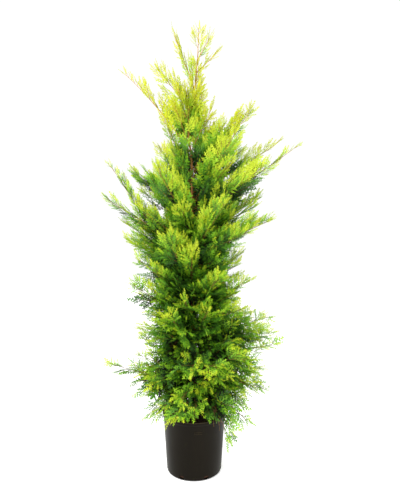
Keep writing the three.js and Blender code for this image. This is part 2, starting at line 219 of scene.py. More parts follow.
# By what share they are shorter on the right and longer on the left, by height. From a height on, those on
# the left take only a part of it.
LOPSIDED_HEIGHTS = (1.10, 1.20, 1.35, 1.42, 1.50)
LOPSIDED_SHARES = (0.0, -0.25, -0.25, 0.0, 0.55)
ONE_SIDED_FROM = 1.42
LEFT_PART = 0.3
# The two boughs beside a long one: turn in degrees, rise, and share of its reach, which is less beside a long
# limb. Their roots rise by a part of that.
COMPANIONS = ((19, 0.025, 0.84), (-21, -0.030, 0.88))
COMPANIONS_UP_TO = 1.200
LONG_LIMB = 0.25
BESIDE_LIMB = 0.14
COMPANION_ROOT = 0.4
# The short shaded boughs round the trunk: seed, root heights, how many, the turn from one to the next in
# degrees, how widely the upper ones fan out behind the trunk, how far they reach, the share of that by
# height, and how far out their tips count.
HEART_SEED = 5
HEART_LOWEST = 0.300
HEART_HIGHEST = 1.450
HEART_COUNT = 170
HEART_TURN = 222.5
HEART_FAN = 0.4
HEART_REACH = 0.142
HEART_SHRINK_HEIGHTS = (1.10, 1.45)
HEART_SHRINK_SHARES = (1.0, 0.5)
# Counting their tips as near the trunk gives their sprays the darkest tints, as painted shade.
HEART_OUTWARD = 0.25
# The trunk shows between these heights: from the first up, no slighter bough is this near to the front, in
# degrees.
TRUNK_SHOWS_FROM = 1.080
TRUNK_SHOWS_TO = 1.650
FRONT_GAP = 40
# How far short of a plume's tip its line ends, the share of that on the leader, and the share that a slender
# plume goes further. A plume turns slender between these lengths.
GREEN_END = 0.045
LEADER_END = 0.7
SLENDER_END = 0.5
SLENDER_LENGTHS = (0.38, 0.50)
# The points of a line as it is drawn, and as it is kept.
DRAWN_POINTS = 33
KEPT_POINTS = 25
# The thinnest that a bough starts, and how stout one without a limb, a slight one and one in the heart are.
THINNEST_ROOT = 0.003
NO_LIMB = 0.6
SLIGHT = 0.7
SHADED = 0.5
# Where the trunk begins to bear twigs of its own, and their bearings in degrees.
UPPER_STEM = (1.480, 1.850)
STEM_BEARINGS = (25, 155)

# The trunk's line: height, then how far it strays to the right and to the back.
TRUNK_HEIGHTS = (0.2323, 0.310, 0.700, 1.256, 1.420, 1.590, 1.740, 1.885)
TRUNK_RIGHTS = (0.0, 0.0, -0.006, -0.010, -0.013, -0.028, 0.002, 0.016)
TRUNK_BACKS = (0.0, 0.0, 0.005, -0.004, 0.0, 0.003, 0.004, 0.001)
TRUNK_SLOPES_RIGHT = np.gradient(TRUNK_RIGHTS, TRUNK_HEIGHTS)
TRUNK_SLOPES_BACK = np.gradient(TRUNK_BACKS, TRUNK_HEIGHTS)
TRUNK_TAPER = 1.3


def filling_boughs():
    """The boughs that fill the front and the back."""
    boughs = []
    step = (TIER_HIGHEST - TIER_LOWEST) / (TIER_COUNT - 1)
    for azimuth, offset in ((FRONT_BEARING, 0.0), (BACK_BEARING, BACK_OFFSET)):
        for tier in range(TIER_COUNT):
            root = TIER_LOWEST + tier * step + offset * (1 - tier / TIER_COUNT)
            reach = float(np.interp(root, CROWN_HEIGHTS, CROWN_REACHES))
            rise = math.radians(np.interp(root, CROWN_HEIGHTS, CROWN_RISES))
            lean = between(TIER_LEAN, TOP_LEAN, (tier / (TIER_COUNT - 1)) ** 2)
            bearing = azimuth + (lean if tier % 2 else -lean)
            boughs.append(Bough(bearing, root, reach, root + reach * math.tan(rise)))
    return boughs


def between_boughs():
    """Slighter boughs that fill the crown between the sides, the front and the back."""
    rng = np.random.default_rng(BETWEEN_SEED)
    front = FRONT_BEARING + 360
    boughs = []
    for number in range(BETWEEN_COUNT):
        share = number / (BETWEEN_COUNT - 1)
        root = between(BETWEEN_LOWEST, BETWEEN_HIGHEST, share**BETWEEN_CROWDING)
        azimuth = (BETWEEN_TURN * number + rng.uniform(-12, 12)) % 360
        aside = azimuth - front
        if root > TRUNK_SHOWS_FROM and abs(aside) < FRONT_GAP:
            azimuth = front + math.copysign(FRONT_GAP + abs(aside), aside)
        lopsided = np.interp(root, LOPSIDED_HEIGHTS, LOPSIDED_SHARES)
        right = math.cos(math.radians(azimuth))
        lopsided *= right if right > 0 or root < ONE_SIDED_FROM else LEFT_PART * right
        reach = float(np.interp(root, BETWEEN_HEIGHTS, BETWEEN_REACHES)) * rng.uniform(0.8, 1.1)
        reach *= 1 - lopsided
        rise = math.radians(np.interp(root, BETWEEN_HEIGHTS, BETWEEN_RISES) + rng.uniform(-8, 8))
        boughs.append(Bough(azimuth, root, reach, root + reach * math.tan(rise)))
    return boughs


def companion_boughs():
    """Two slighter boughs beside each long bough of the lower and middle crown."""
    boughs = []
    for bough in OUTLINE_BOUGHS:
        if bough.root < COMPANIONS_UP_TO:
            for turn, rise, full in COMPANIONS:
                share = full - BESIDE_LIMB if bough.limb > LONG_LIMB else full
                root = bough.root + COMPANION_ROOT * rise
                tip = bough.root + share * (bough.tip - bough.root) + rise
                boughs.append(Bough(bough.azimuth + turn, root, share * bough.reach, tip, bough.bow))
    return boughs


def heart_boughs():
    """Short shaded boughs that close the heart of the crown round the trunk."""
    rng = np.random.default_rng(HEART_SEED)
    boughs = []
    for number in range(HEART_COUNT):
        root = HEART_LOWEST + (HEART_HIGHEST - HEART_LOWEST) * number / (HEART_COUNT - 1)
        azimuth = (HEART_TURN * number + rng.uniform(-20, 20)) % 360
        if root > TRUNK_SHOWS_FROM:
            azimuth = BACK_BEARING + HEART_FAN * (azimuth - 180)
        reach = HEART_REACH * rng.uniform(0.75, 1.25)
        reach *= float(np.interp(root, HEART_SHRINK_HEIGHTS, HEART_SHRINK_SHARES))
        boughs.append(Bough(azimuth, root, reach, root + reach * rng.uniform(0.0, 0.6)))
    return boughs


def trunk_point(height):
    """The trunk's middle at a height, on a smooth line through its set points."""
    i = int(np.clip(np.searchsorted(TRUNK_HEIGHTS, height) - 1, 0, len(TRUNK_HEIGHTS) - 2))
    span = TRUNK_HEIGHTS[i + 1] - TRUNK_HEIGHTS[i]
    t = min(max((height - TRUNK_HEIGHTS[i]) / span, 0.0), 1.0)
    start, start_slope = (1 + 2 * t) * (1 - t) ** 2, t * (1 - t) ** 2
    end, end_slope = t * t * (3 - 2 * t), t * t * (t - 1)

    def eased(places, slopes):
        bend = span * (start_slope * slopes[i] + end_slope * slopes[i + 1])
        return start * places[i] + end * places[i + 1] + bend

    right, back = eased(TRUNK_RIGHTS, TRUNK_SLOPES_RIGHT), eased(TRUNK_BACKS, TRUNK_SLOPES_BACK)
    return Vector((right, back, height))


def trunk_radius(height, wood):
    """The trunk's radius at a height: an even taper, wider at the root flare."""
    above = height - TRUNK_HEIGHTS[0]
    share = above / (TRUNK_HEIGHTS[-1] - TRUNK_HEIGHTS[0])
    taper = between(wood.tip_radius, wood.trunk_radius, max(0.0, 1 - share) ** TRUNK_TAPER)
    return taper + wood.flare * math.exp(-above / wood.flare_height)


class Plume(NamedTuple):
    """A bough's whole line as points, with the share of it that is bare and its crosswise direction.

    A root radius of 0 means that the line has wood already. Outward is how far out its tip counts, 1 at the
    crown's outside.
    """

    points: np.ndarray
    bare: float
    across: np.ndarray
    root_radius: float
    outward: float


def curve_points(foot, middle, tip, count):
    """Points on the curve that leaves foot towards middle and ends at tip."""
    t = np.linspace(0, 1, count)[:, None]
    return (1 - t) ** 2 * np.array(foot) + 2 * t * (1 - t) * np.array(middle) + t * t * np.array(tip)


def shortened(points, end):
    """A line's points, moved closer together so that it ends short by a length."""
    line = Line(points)
    return line.at(np.linspace(0, line.length - end, KEPT_POINTS))


def all_plumes(wood):
    """Every bough and the leader, from the trunk's middle to the tip."""
    foot = trunk_point(TRUNK_HEIGHTS[-1])
    points = curve_points(foot, foot.lerp(LEADER_TIP, 0.5), LEADER_TIP, DRAWN_POINTS)
    points = shortened(points, LEADER_END * GREEN_END)
    plumes = [Plume(points, 0.0, np.array([1.0, 0.0, 0.0]), wood.tip_radius, 1.0)]
    points = np.array([trunk_point(height) for height in np.linspace(*UPPER_STEM, KEPT_POINTS)])
    for turn in np.radians(STEM_BEARINGS):
        plumes.append(Plume(points, 0.0, np.array([math.cos(turn), math.sin(turn), 0.0]), 0.0, 1.0))
    kinds = [(bough, 1.0, 1.0) for bough in (*OUTLINE_BOUGHS, *filling_boughs())]
    kinds += [(bough, SLIGHT, 1.0) for bough in (*SLIGHT_BOUGHS, *companion_boughs(), *between_boughs())]
    kinds += [(bough, SHADED, HEART_OUTWARD) for bough in heart_boughs()]
    for bough, stoutness, outward in kinds:
        turn = math.radians(bough.azimuth)
        foot = trunk_point(bough.root)
        tip = Vector((bough.reach * math.cos(turn), bough.reach * math.sin(turn), bough.tip))
        middle = foot.lerp(tip, 0.5) + Vector((0, 0, bough.bow))
        across = np.array([-math.sin(turn), math.cos(turn), 0.0])
        radius = max(THINNEST_ROOT, wood.bough_share * trunk_radius(bough.root, wood))
        if not bough.limb:
            radius *= NO_LIMB * stoutness
        points = curve_points(foot, middle, tip, DRAWN_POINTS)
        slender = np.interp(np.linalg.norm(points[-1] - points[0]), SLENDER_LENGTHS, (0.0, 1.0))
        points = shortened(points, GREEN_END * (1 - SLENDER_END * slender))
        plumes.append(Plume(points, bough.limb, across, radius, outward))
    return plumes


# Settings


def srgb(red, green, blue):
    """A colour as a screen shows it, 0 to 255, in the shader's own linear numbers."""
    shares = (red / 255, green / 255, blue / 255)
    return tuple(((c + 0.055) / 1.055) ** 2.4 if c > 0.04045 else c / 12.92 for c in shares)


def colour_property(name, description, default):
    """A colour that a user would change."""
    return FloatVectorProperty(
        name=name, description=description, default=default, subtype="COLOR", min=0, max=1
    )


def size_property(name, description, default):
    """A length that a user would change."""
    return FloatProperty(
        name=name, description=description, default=default, subtype="DISTANCE", unit="LENGTH"
    )


def share_property(name, description, default):
    """A share that a user would change."""
    return FloatProperty(name=name, description=description, default=default, subtype="FACTOR", min=0, max=1)


class PotSettings(PropertyGroup):
    """The nursery pot and its compost."""

    height: size_property("Height", "From the underside to the rim", POT_HIGH.z - POT_LOW.z)
    rim_radius: size_property("Rim radius", "Out to the lip's edge", POT_HIGH.x)
    wall_top_radius: size_property("Wall at the rim", "Outside radius, carried up to the rim", 0.1405)
    wall_foot_radius: size_property("Wall at the foot", "Outside radius, carried down to the floor", 0.123)
    lip_depth: size_property("Lip depth", "How far the lip comes down", 0.012)
    corner: size_property("Corner", "Height of the rounded bottom corner", 0.014)
    wall: size_property("Wall", "Thickness of the moulded wall", 0.003)
    slot_width: size_property("Slot width", "Width of a drain slot", 0.022)
    slot_height: size_property("Slot height", "Height of a drain slot", 0.021)
    slots: IntProperty(name="Slots", description="Drain slots round the bottom corner", default=7, min=0)
    compost_edge: size_property("Compost edge", "Height of the compost at the wall", 0.224)
    compost_crown: size_property("Compost crown", "Height of the compost at the trunk", COMPOST_HIGH.z)
    crumbs: IntProperty(name="Crumbs", description="Loose crumbs and bark chips on top", default=620, min=0)
    plastic: colour_property("Plastic", "The pot's moulded plastic", srgb(21, 17, 10))
    soil: colour_property("Soil", "The compost's main colour", srgb(58, 36, 23))


class WoodSettings(PropertyGroup):
    """The trunk and the boughs."""

    trunk_radius: size_property("Trunk radius", "Above the root flare", 0.016)
    tip_radius: size_property("Tip radius", "Where the leader takes over", 0.0018)
    flare: size_property("Flare", "How far the root flare stands out", 0.006)
    flare_height: size_property("Flare height", "Over which the flare dies away", 0.018)
    bough_share: share_property("Bough share", "A bough's radius as a share of the trunk's", 0.38)
    relief: share_property("Relief", "Depth of the bark's ridges as a share of the radius", 0.13)
    bark: colour_property("Bark", "The ridges of the bark", srgb(158, 98, 58))
    furrow: colour_property("Furrow", "Between the ridges", srgb(92, 52, 30))
    twig: colour_property("Twig", "The twigs of the lower and middle crown", srgb(120, 92, 42))
    young_wood: colour_property("Young wood", "Stems and twigs near the top", srgb(186, 144, 64))


class FoliageSettings(PropertyGroup):
    """The twigs and sprays."""

    seed: IntProperty(name="Seed", description="Picks one plant out of many", default=27)
    twig_spacing: size_property("Twig spacing", "Along a bough", 0.0175)
    spray_spacing: size_property("Spray spacing", "Along a twig", 0.0080)
    longest_spray: size_property("Longest spray", "At the foot of a long twig", 0.072)
    shortest_spray: size_property("Shortest spray", "Near a twig's tip", 0.027)
    withered: colour_property("Withered", "Dead sprays round the foot of the trunk", srgb(66, 46, 26))
    # The heart tint is painted shade, near black for the shadow inside the crown; deep and dark are partly
    # older foliage and partly painted shade.
    heart: colour_property("Heart", "Sprays in the heart of the crown", srgb(14, 30, 8))
    deep: colour_property("Deep", "Sprays deep in the crown", srgb(28, 58, 12))
    dark: colour_property("Dark", "Shaded sprays", srgb(50, 92, 20))
    leaf: colour_property("Leaf", "Sprays of the middle depth", srgb(76, 128, 27))
    fresh: colour_property("Fresh", "Outer sprays", srgb(109, 161, 28))
    lime: colour_property("Lime", "Young sprays", srgb(149, 192, 36))
    gold: colour_property("Gold", "The youngest tips", srgb(184, 202, 40))
    straw: colour_property("Straw", "The slender top", srgb(188, 194, 20))


class StageSettings(PropertyGroup):
    """Floor, light and camera."""

    camera_distance: size_property("Camera distance", "In front of the trunk", 2.0)
    camera_height: size_property("Camera height", "Above the floor, looking level", 1.0)
    camera_right: size_property("Camera right", "Right of the trunk", 0.0266)
    focal_pixels: FloatProperty(name="Focal length", description="In pixels, 500 high", default=436.0)
    floor: colour_property("Floor", "The pale floor", (0.97, 0.97, 0.97))
    sky: FloatProperty(name="Surround", description="Strength of the white surround", default=1.05)
    key: FloatProperty(name="Key light", description="Power of the main light", default=130.0, unit="POWER")
    fill: FloatProperty(name="Fill light", description="Power of the fill light", default=30.0, unit="POWER")


TINTS = ("withered", "heart", "deep", "dark", "leaf", "fresh", "lime", "gold", "straw")


# Materials

# Between these heights the wood turns from old to young.
YOUNG_WOOD = (1.15, 1.65)
# How far under the rim the pot's painted highlight starts, and from where it is at full strength.
RIM_HIGHLIGHT_DEPTHS = (0.003, 0.001)


def new_material(name, roughness, specular):
    """A material with its node tree and principled shader."""
    material = bpy.data.materials.new(name)
    material.use_nodes = True
    shader = material.node_tree.nodes["Principled BSDF"]
    shader.inputs["Roughness"].default_value = roughness
    shader.inputs["Specular IOR Level"].default_value = specular
    return material, material.node_tree, shader


def add_noise(tree, scale, detail, stretch=(1, 1, 1)):
    """Noise on the piece's own coordinates."""
    place = tree.nodes.new("ShaderNodeTexCoord")
    mapping = tree.nodes.new("ShaderNodeMapping")
    mapping.inputs["Scale"].default_value = stretch
    texture = tree.nodes.new("ShaderNodeTexNoise")
    texture.inputs["Scale"].default_value = scale
    texture.inputs["Detail"].default_value = detail
    tree.links.new(place.outputs["Object"], mapping.inputs["Vector"])
    tree.links.new(mapping.outputs["Vector"], texture.inputs["Vector"])
    return texture.outputs["Fac"]


def add_ramp(tree, factor, stops, target):
    """Colours by a factor, into a shader's socket."""
    ramp = tree.nodes.new("ShaderNodeValToRGB")
    elements = ramp.color_ramp.elements
    while len(elements) < len(stops):
        elements.new(0.5)
    for element, (position, colour) in zip(elements, stops):
        element.position = position
        element.color = (*colour, 1)
    tree.links.new(factor, ramp.inputs["Fac"])
    tree.links.new(ramp.outputs["Color"], target)


def add_range(tree, factor, low, high, target):
    """A number between two values by a factor, into a shader's socket."""
    spread = tree.nodes.new("ShaderNodeMapRange")
    spread.inputs["To Min"].default_value = low
    spread.inputs["To Max"].default_value = high
    tree.links.new(factor, spread.inputs["Value"])
    tree.links.new(spread.outputs["Result"], target)


def add_bump(tree, height, strength, distance, shader):
    """Fine relief from a height."""
    bump = tree.nodes.new("ShaderNodeBump")
    bump.inputs["Strength"].default_value = strength
    bump.inputs["Distance"].default_value = distance
    tree.links.new(height, bump.inputs["Height"])
    tree.links.new(bump.outputs["Normal"], shader.inputs["Normal"])


def add_height(tree, low, high):
    """0 below one height and 1 above another, on the piece's own coordinates."""
    place = tree.nodes.new("ShaderNodeTexCoord")
    split = tree.nodes.new("ShaderNodeSeparateXYZ")
    spread = tree.nodes.new("ShaderNodeMapRange")
    spread.inputs["From Min"].default_value = low
    spread.inputs["From Max"].default_value = high
    tree.links.new(place.outputs["Object"], split.inputs["Vector"])
    tree.links.new(split.outputs["Z"], spread.inputs["Value"])
    return spread.outputs["Result"]


def add_mix(tree, factor, target):
    """Two colours mixed by a factor, into a shader's socket. It gives back the sockets of both."""
    mix = tree.nodes.new("ShaderNodeMix")
    mix.data_type = "RGBA"
    tree.links.new(factor, mix.inputs["Factor"])
    tree.links.new(mix.outputs["Result"], target)
    return mix.inputs["A"], mix.inputs["B"]


def shade(colour, factor):
    """A colour made darker or lighter."""
    return tuple(min(1.0, c * factor) for c in colour)


def moulded_plastic(name, colour, rim):
    """Black satin plastic with dusty patches, the faint grain of the mould and a highlight painted along the
    rim.
    """
    material, tree, shader = new_material(name, 0.4, 0.06)
    shader.inputs["Sheen Weight"].default_value = 0.05
    shader.inputs["Sheen Roughness"].default_value = 0.35
    shader.inputs["Sheen Tint"].default_value = (1.0, 0.96, 0.82, 1.0)
    dust = add_noise(tree, 9.0, 6.0, (1, 1, 0.35))
    # Painted highlight: the band just under the rim is made six times lighter than the plastic.
    rim_highlight_share = add_height(tree, *(rim - depth for depth in RIM_HIGHLIGHT_DEPTHS))
    dusty, painted_highlight = add_mix(tree, rim_highlight_share, shader.inputs["Base Color"])
    add_ramp(tree, dust, ((0.35, shade(colour, 0.8)), (0.62, colour), (0.82, shade(colour, 1.9))), dusty)
    painted_highlight.default_value = (*shade(colour, 6.0), 1.0)
    add_range(tree, dust, 0.30, 0.52, shader.inputs["Roughness"])
    add_bump(tree, add_noise(tree, 420.0, 2.0), 0.12, 0.0006, shader)
    return material


def crumbly_soil(colour):
    """Dark moist compost with lighter fibres and crumbs."""
    material, tree, shader = new_material("crumbly_soil", 0.95, 0.2)
    crumbs = add_noise(tree, 160.0, 8.0)
    stops = ((0.3, shade(colour, 0.35)), (0.55, colour), (0.75, shade(colour, 2.0)))
    add_ramp(tree, crumbs, stops, shader.inputs["Base Color"])
    add_bump(tree, crumbs, 0.8, 0.004, shader)
    return material


def fibrous_bark(name, ridge, furrow, young):
    """Red-brown bark with fibres drawn out along the stem, golden on the young wood of the top."""
    material, tree, shader = new_material(name, 0.85, 0.25)
    fibres = add_noise(tree, 240.0, 6.0, (1, 1, 0.12))
    old_wood, new_wood = add_mix(tree, add_height(tree, *YOUNG_WOOD), shader.inputs["Base Color"])
    add_ramp(tree, fibres, ((0.32, furrow), (0.52, ridge), (0.74, shade(ridge, 1.5))), old_wood)
    stops = ((0.32, shade(young, 0.6)), (0.52, young), (0.74, shade(young, 1.3)))
    add_ramp(tree, fibres, stops, new_wood)
    add_range(tree, fibres, 0.95, 0.7, shader.inputs["Roughness"])
    add_bump(tree, fibres, 0.6, 0.0015, shader)
    return material


def waxy_spray(name, colour):
    """Scale leaves of one tint, mottled a little."""
    material, tree, shader = new_material(name, 0.55, 0.3)
    mottle = add_noise(tree, 90.0, 3.0)
    stops = ((0.3, shade(colour, 0.8)), (0.7, shade(colour, 1.15)))
    add_ramp(tree, mottle, stops, shader.inputs["Base Color"])
    add_range(tree, mottle, 0.65, 0.45, shader.inputs["Roughness"])
    return material


def pale_floor(colour):
    """A plain pale floor."""
    material, tree, shader = new_material("pale_floor", 0.9, 0.1)
    grain = add_noise(tree, 3.0, 2.0)
    add_ramp(tree, grain, ((0.3, shade(colour, 0.99)), (0.7, colour)), shader.inputs["Base Color"])
    shader.inputs["Emission Color"].default_value = (1, 1, 1, 1)
    shader.inputs["Emission Strength"].default_value = 0.35
    return material


# Pieces


def add_piece(name, mesh, material):
    """A mesh as an object in the scene."""
    mesh.materials.append(material)
    piece = bpy.data.objects.new(name, mesh)
    bpy.context.scene.collection.objects.link(piece)
    return piece


def carry(piece, slot, *nodes):
    """The piece is attached to the plant's body and stands in for these nodes, which it hides."""
    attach(piece, BODY)
    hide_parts(*nodes)


def mesh_from_bmesh(name, bm, smooth=True):
    """A finished mesh from a bmesh."""
    for face in bm.faces:
        face.smooth = smooth
    mesh = bpy.data.meshes.new(name)
    bm.to_mesh(mesh)
    bm.free()
    return mesh


def mesh_from_arrays(name, points, triangles):
    """A mesh of many small joined shapes."""
    mesh = bpy.data.meshes.new(name)
    mesh.vertices.add(len(points))
    mesh.vertices.foreach_set("co", np.ascontiguousarray(points, np.float32).ravel())
    mesh.loops.add(triangles.size)
    mesh.loops.foreach_set("vertex_index", np.ascontiguousarray(triangles, np.int32).ravel())
    mesh.polygons.add(len(triangles))
    mesh.polygons.foreach_set("loop_start", np.arange(0, triangles.size, 3, dtype=np.int32))
    mesh.update(calc_edges=True)
    return mesh


def nodes_named(start):
    """The names of the frame's nodes that start so."""
    return [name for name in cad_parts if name.startswith(start)]


def spin_profile(bm, profile, steps):
    """A closed turned shape from a half section that starts and ends on the axis."""
    verts = [bm.verts.new((radius, 0, height)) for radius, height in profile]
    edges = [bm.edges.new(pair) for pair in zip(verts, verts[1:])]
    bmesh.ops.spin(
        bm, geom=verts + edges, cent=(0, 0, 0), axis=(0, 0, 1), angle=FULL_TURN, steps=steps, use_merge=True
    )
    bmesh.ops.remove_doubles(bm, verts=bm.verts, dist=1e-6)
    bmesh.ops.recalc_face_normals(bm, faces=bm.faces)


# Pot

POT_STEPS = 96
CORNER_STEPS = 8
RIM_ROUNDING = 0.0015
SLOT_ROUNDING = 0.004
# The moulded bars at the front: heights, size, turn in degrees, and how far they are sunk in the wall.
BAR_HEIGHTS = (0.219, 0.211)
BAR_SIZE = (0.036, 0.0032, 0.0026)
BAR_TURN = 8
BAR_SUNK = 0.0008


def wall_radius(pot, height):
    """The outside radius of the pot's wall at a height."""
    return pot.wall_foot_radius + (pot.wall_top_radius - pot.wall_foot_radius) * height / pot.height


def pot_section(pot):
    """The pot's half section: underside, rounded corner, wall, lip, and down the inside."""
    lip_foot = pot.height - pot.lip_depth
    neck = wall_radius(pot, lip_foot)
    corner_top = wall_radius(pot, pot.corner)
    corner = []
    for i in range(CORNER_STEPS + 1):
        t = i / CORNER_STEPS
        start, middle, end = (1 - t) ** 2, 2 * t * (1 - t), t * t
        radius = start * (pot.wall_foot_radius - pot.corner) + middle * pot.wall_foot_radius
        corner.append((radius + end * corner_top, end * pot.corner))
    # The lip swells out of the wall in small steps and is rounded over at the rim.
    lip = [
        (neck, lip_foot - 0.004),
        (neck + 0.0004, lip_foot - 0.003),
        (pot.rim_radius - 0.0018, lip_foot - 0.0006),
        (pot.rim_radius - 0.001, lip_foot + 0.0006),
        (pot.rim_radius, pot.height - RIM_ROUNDING),
        (pot.rim_radius - 0.0005, pot.height - 0.0004),
        (pot.rim_radius - RIM_ROUNDING, pot.height),
    ]
    inside = [
        (pot.wall_top_radius - pot.wall + RIM_ROUNDING, pot.height),
        (pot.wall_top_radius - pot.wall, pot.height - RIM_ROUNDING),
        (corner_top - pot.wall, pot.corner),
        (pot.wall_foot_radius - pot.corner - pot.wall, pot.wall),
    ]
    return [(0, 0), *corner, (wall_radius(pot, 0.5 * lip_foot), 0.5 * lip_foot), *lip, *inside, (0, pot.wall)]


def drain_cutter(pot):
    """Rounded bars that cut the drain slots through the pot's bottom corner."""
    bm = bmesh.new()
    for i in range(pot.slots):
        made = bmesh.ops.create_cube(bm, size=1)["verts"]
        size = Matrix.Diagonal((2 * pot.corner, pot.slot_width, pot.slot_height - pot.wall, 1))
        place = Matrix.Translation((pot.wall_foot_radius, 0, 0.5 * (pot.slot_height + pot.wall)))
        turn = Matrix.Rotation(0.25 * FULL_TURN + FULL_TURN * i / pot.slots, 4, "Z")
        bmesh.ops.transform(bm, matrix=turn @ place @ size, verts=made)
    bmesh.ops.bevel(
        bm,
        geom=bm.edges[:],
        offset=SLOT_ROUNDING,
        segments=3,
        profile=0.5,
        affect="EDGES",
        material=-1,
        clamp_overlap=True,
    )
    return mesh_from_bmesh("drain_cutter", bm)


def cut_away(name, mesh, cutter):
    """A mesh with another cut out of it."""
    whole = bpy.data.objects.new("whole", mesh)
    tool = bpy.data.objects.new("tool", cutter)
    for thing in (whole, tool):
        bpy.context.scene.collection.objects.link(thing)
    modifier = whole.modifiers.new("slots", "BOOLEAN")
    modifier.operation = "DIFFERENCE"
    modifier.solver = "EXACT"
    modifier.object = tool
    cut = bpy.data.meshes.new_from_object(whole.evaluated_get(bpy.context.evaluated_depsgraph_get()))
    cut.name = name
    for thing in (whole, tool):
        bpy.data.objects.remove(thing)
    return cut


def moulded_bars(pot):
    """Two short raised bars, as the mould leaves them, under the lip at the front."""
    bm = bmesh.new()
    turn = Matrix.Rotation(math.radians(BAR_TURN), 4, "Z")
    for height in BAR_HEIGHTS:
        bar = bmesh.ops.create_cube(bm, size=1)["verts"]
        place = turn @ Matrix.Translation((0, -wall_radius(pot, height) + BAR_SUNK, height))
        bmesh.ops.transform(bm, matrix=place @ Matrix.Diagonal((*BAR_SIZE, 1)), verts=bar)
    return mesh_from_bmesh("moulded_bars", bm, smooth=False)


class CYPRESS_OT_pot(Operator):
    """Makes the moulded nursery pot with its lip, rounded foot, drain slots and raised bars."""

    bl_idname = "cypress.pot"
    bl_label = "Pot"

    # How much lighter the bars' plastic is painted, as the highlight on their tops.
    bar_highlight_lightening = 2.6
    sharp_from = math.radians(35)

    def execute(self, context):
        pot = context.scene.cypress_pot
        bm = bmesh.new()
        spin_profile(bm, pot_section(pot), POT_STEPS)
        shell = mesh_from_bmesh("pot_shell", bm)
        mesh = cut_away("nursery_pot", shell, drain_cutter(pot))
        mesh.polygons.foreach_set("use_smooth", [True] * len(mesh.polygons))
        mesh.set_sharp_from_angle(angle=self.sharp_from)
        plastic = moulded_plastic("moulded_plastic", pot.plastic, pot.height)
        carry(add_piece("nursery_pot", mesh, plastic), "pot", "pot")
        # Painted highlight: the raised bars get plastic 2.6 times lighter, standing in for the light their
        # tops catch.
        painted_highlight = moulded_plastic("rubbed_plastic", shade(pot.plastic, self.bar_highlight_lightening), pot.height)
        carry(add_piece("moulded_bars", moulded_bars(pot), painted_highlight), "pot", "pot")
        return {"FINISHED"}


# Compost

COMPOST_RINGS = 40
# How roundly the compost's top falls away from the trunk, and how clear it is of the pot's wall and floor.
COMPOST_FALL = 1.6
WALL_GAP = 0.0008
FLOOR_GAP = 0.0004
# How fine and how deep the unevenness of its top is, and from how far under its edge.
COMPOST_RELIEF = ((30, 0.0022), (140, 0.0012))
RELIEF_FROM = 0.001
# Loose crumbs: seed, sizes, how much flatter than wide, how far from the rim, and how high they lie.
CRUMB_SEED = 5
CRUMB_SIZES = (0.0015, 0.0042)
CRUMB_SHAPE = (1, 1, 0.6)
CRUMB_INSET = 0.012
CRUMB_LIFT = 0.001
# A crumb's corners and sides, before it is stretched.
CRUMB_CORNERS = ((1, 0, 0), (-1, 0, 0), (0, 1, 0), (0, -1, 0), (0, 0, 1), (0, 0, -1))
CRUMB_SIDES = ((0, 2, 4), (2, 1, 4), (1, 3, 4), (3, 0, 4), (2, 0, 5), (1, 2, 5), (3, 1, 5), (0, 3, 5))


def compost_height(pot, share):
    """The compost's height a share of the way from the trunk to the wall."""
    return pot.compost_crown - (pot.compost_crown - pot.compost_edge) * share**COMPOST_FALL


def compost_relief(place):
    """How far the compost's top stands up at a place."""
    return sum(depth * noise.fractal(place * grain, 0.8, 2.0, 3) for grain, depth in COMPOST_RELIEF)


def compost_section(pot):
    """The compost's half section, finely stepped over the top."""
    inside = pot.wall_top_radius - pot.wall - WALL_GAP
    slope = (pot.wall_top_radius - pot.wall_foot_radius) / pot.height
    edge = inside - slope * (pot.height - pot.compost_edge)
    rings = range(COMPOST_RINGS + 1)
    top = [(edge * i / COMPOST_RINGS, compost_height(pot, i / COMPOST_RINGS)) for i in rings]
    foot = edge - slope * (pot.compost_edge - pot.corner)
    floor = pot.wall + FLOOR_GAP
    return [*top, (foot, pot.corner), (foot - pot.corner, floor), (0, floor)]


def loose_crumbs(pot, count):
    """Crumbs and bark chips lying on the compost, as points and triangles."""
    rng = np.random.default_rng(CRUMB_SEED)
    radius = (pot.wall_top_radius - CRUMB_INSET) * np.sqrt(rng.uniform(0.03, 1, count))
    turn = rng.uniform(0, FULL_TURN, count)
    height = compost_height(pot, radius / pot.wall_top_radius) + CRUMB_LIFT
    middle = np.stack([radius * np.cos(turn), radius * np.sin(turn), height], axis=1)
    size = rng.uniform(*CRUMB_SIZES, (count, 1)) * np.array(CRUMB_SHAPE) * rng.uniform(0.6, 1.8, (count, 3))
    spin = rng.uniform(0, FULL_TURN, count)
    corners = len(CRUMB_CORNERS)
    shapes = np.array(CRUMB_CORNERS, float) * rng.uniform(0.7, 1.3, (count, corners, 1)) * size[:, None, :]
    x = shapes[..., 0] * np.cos(spin)[:, None] - shapes[..., 1] * np.sin(spin)[:, None]
    y = shapes[..., 0] * np.sin(spin)[:, None] + shapes[..., 1] * np.cos(spin)[:, None]
    points = np.stack([x, y, shapes[..., 2]], axis=2) + middle[:, None, :]
    triangles = np.array(CRUMB_SIDES)[None] + corners * np.arange(count)[:, None, None]
    return points.reshape(-1, 3), triangles.reshape(-1, 3)


class CYPRESS_OT_compost(Operator):
    """Makes the compost, uneven on top, with loose crumbs and bark chips."""

    bl_idname = "cypress.compost"
    bl_label = "Compost"

    def execute(self, context):
        pot = context.scene.cypress_pot
        bm = bmesh.new()
        spin_profile(bm, compost_section(pot), POT_STEPS)
        for vert in bm.verts:
            if vert.co.z > pot.compost_edge - RELIEF_FROM:
                vert.co.z += compost_relief(vert.co)
        soil = crumbly_soil(pot.soil)
        carry(add_piece("compost_fill", mesh_from_bmesh("compost_fill", bm), soil), "compost", "compost")
        crumbs = mesh_from_arrays("compost_crumbs", *loose_crumbs(pot, pot.crumbs))
        carry(add_piece("compost_crumbs", crumbs, soil), "compost", "compost")
        return {"FINISHED"}


# Trunk and boughs

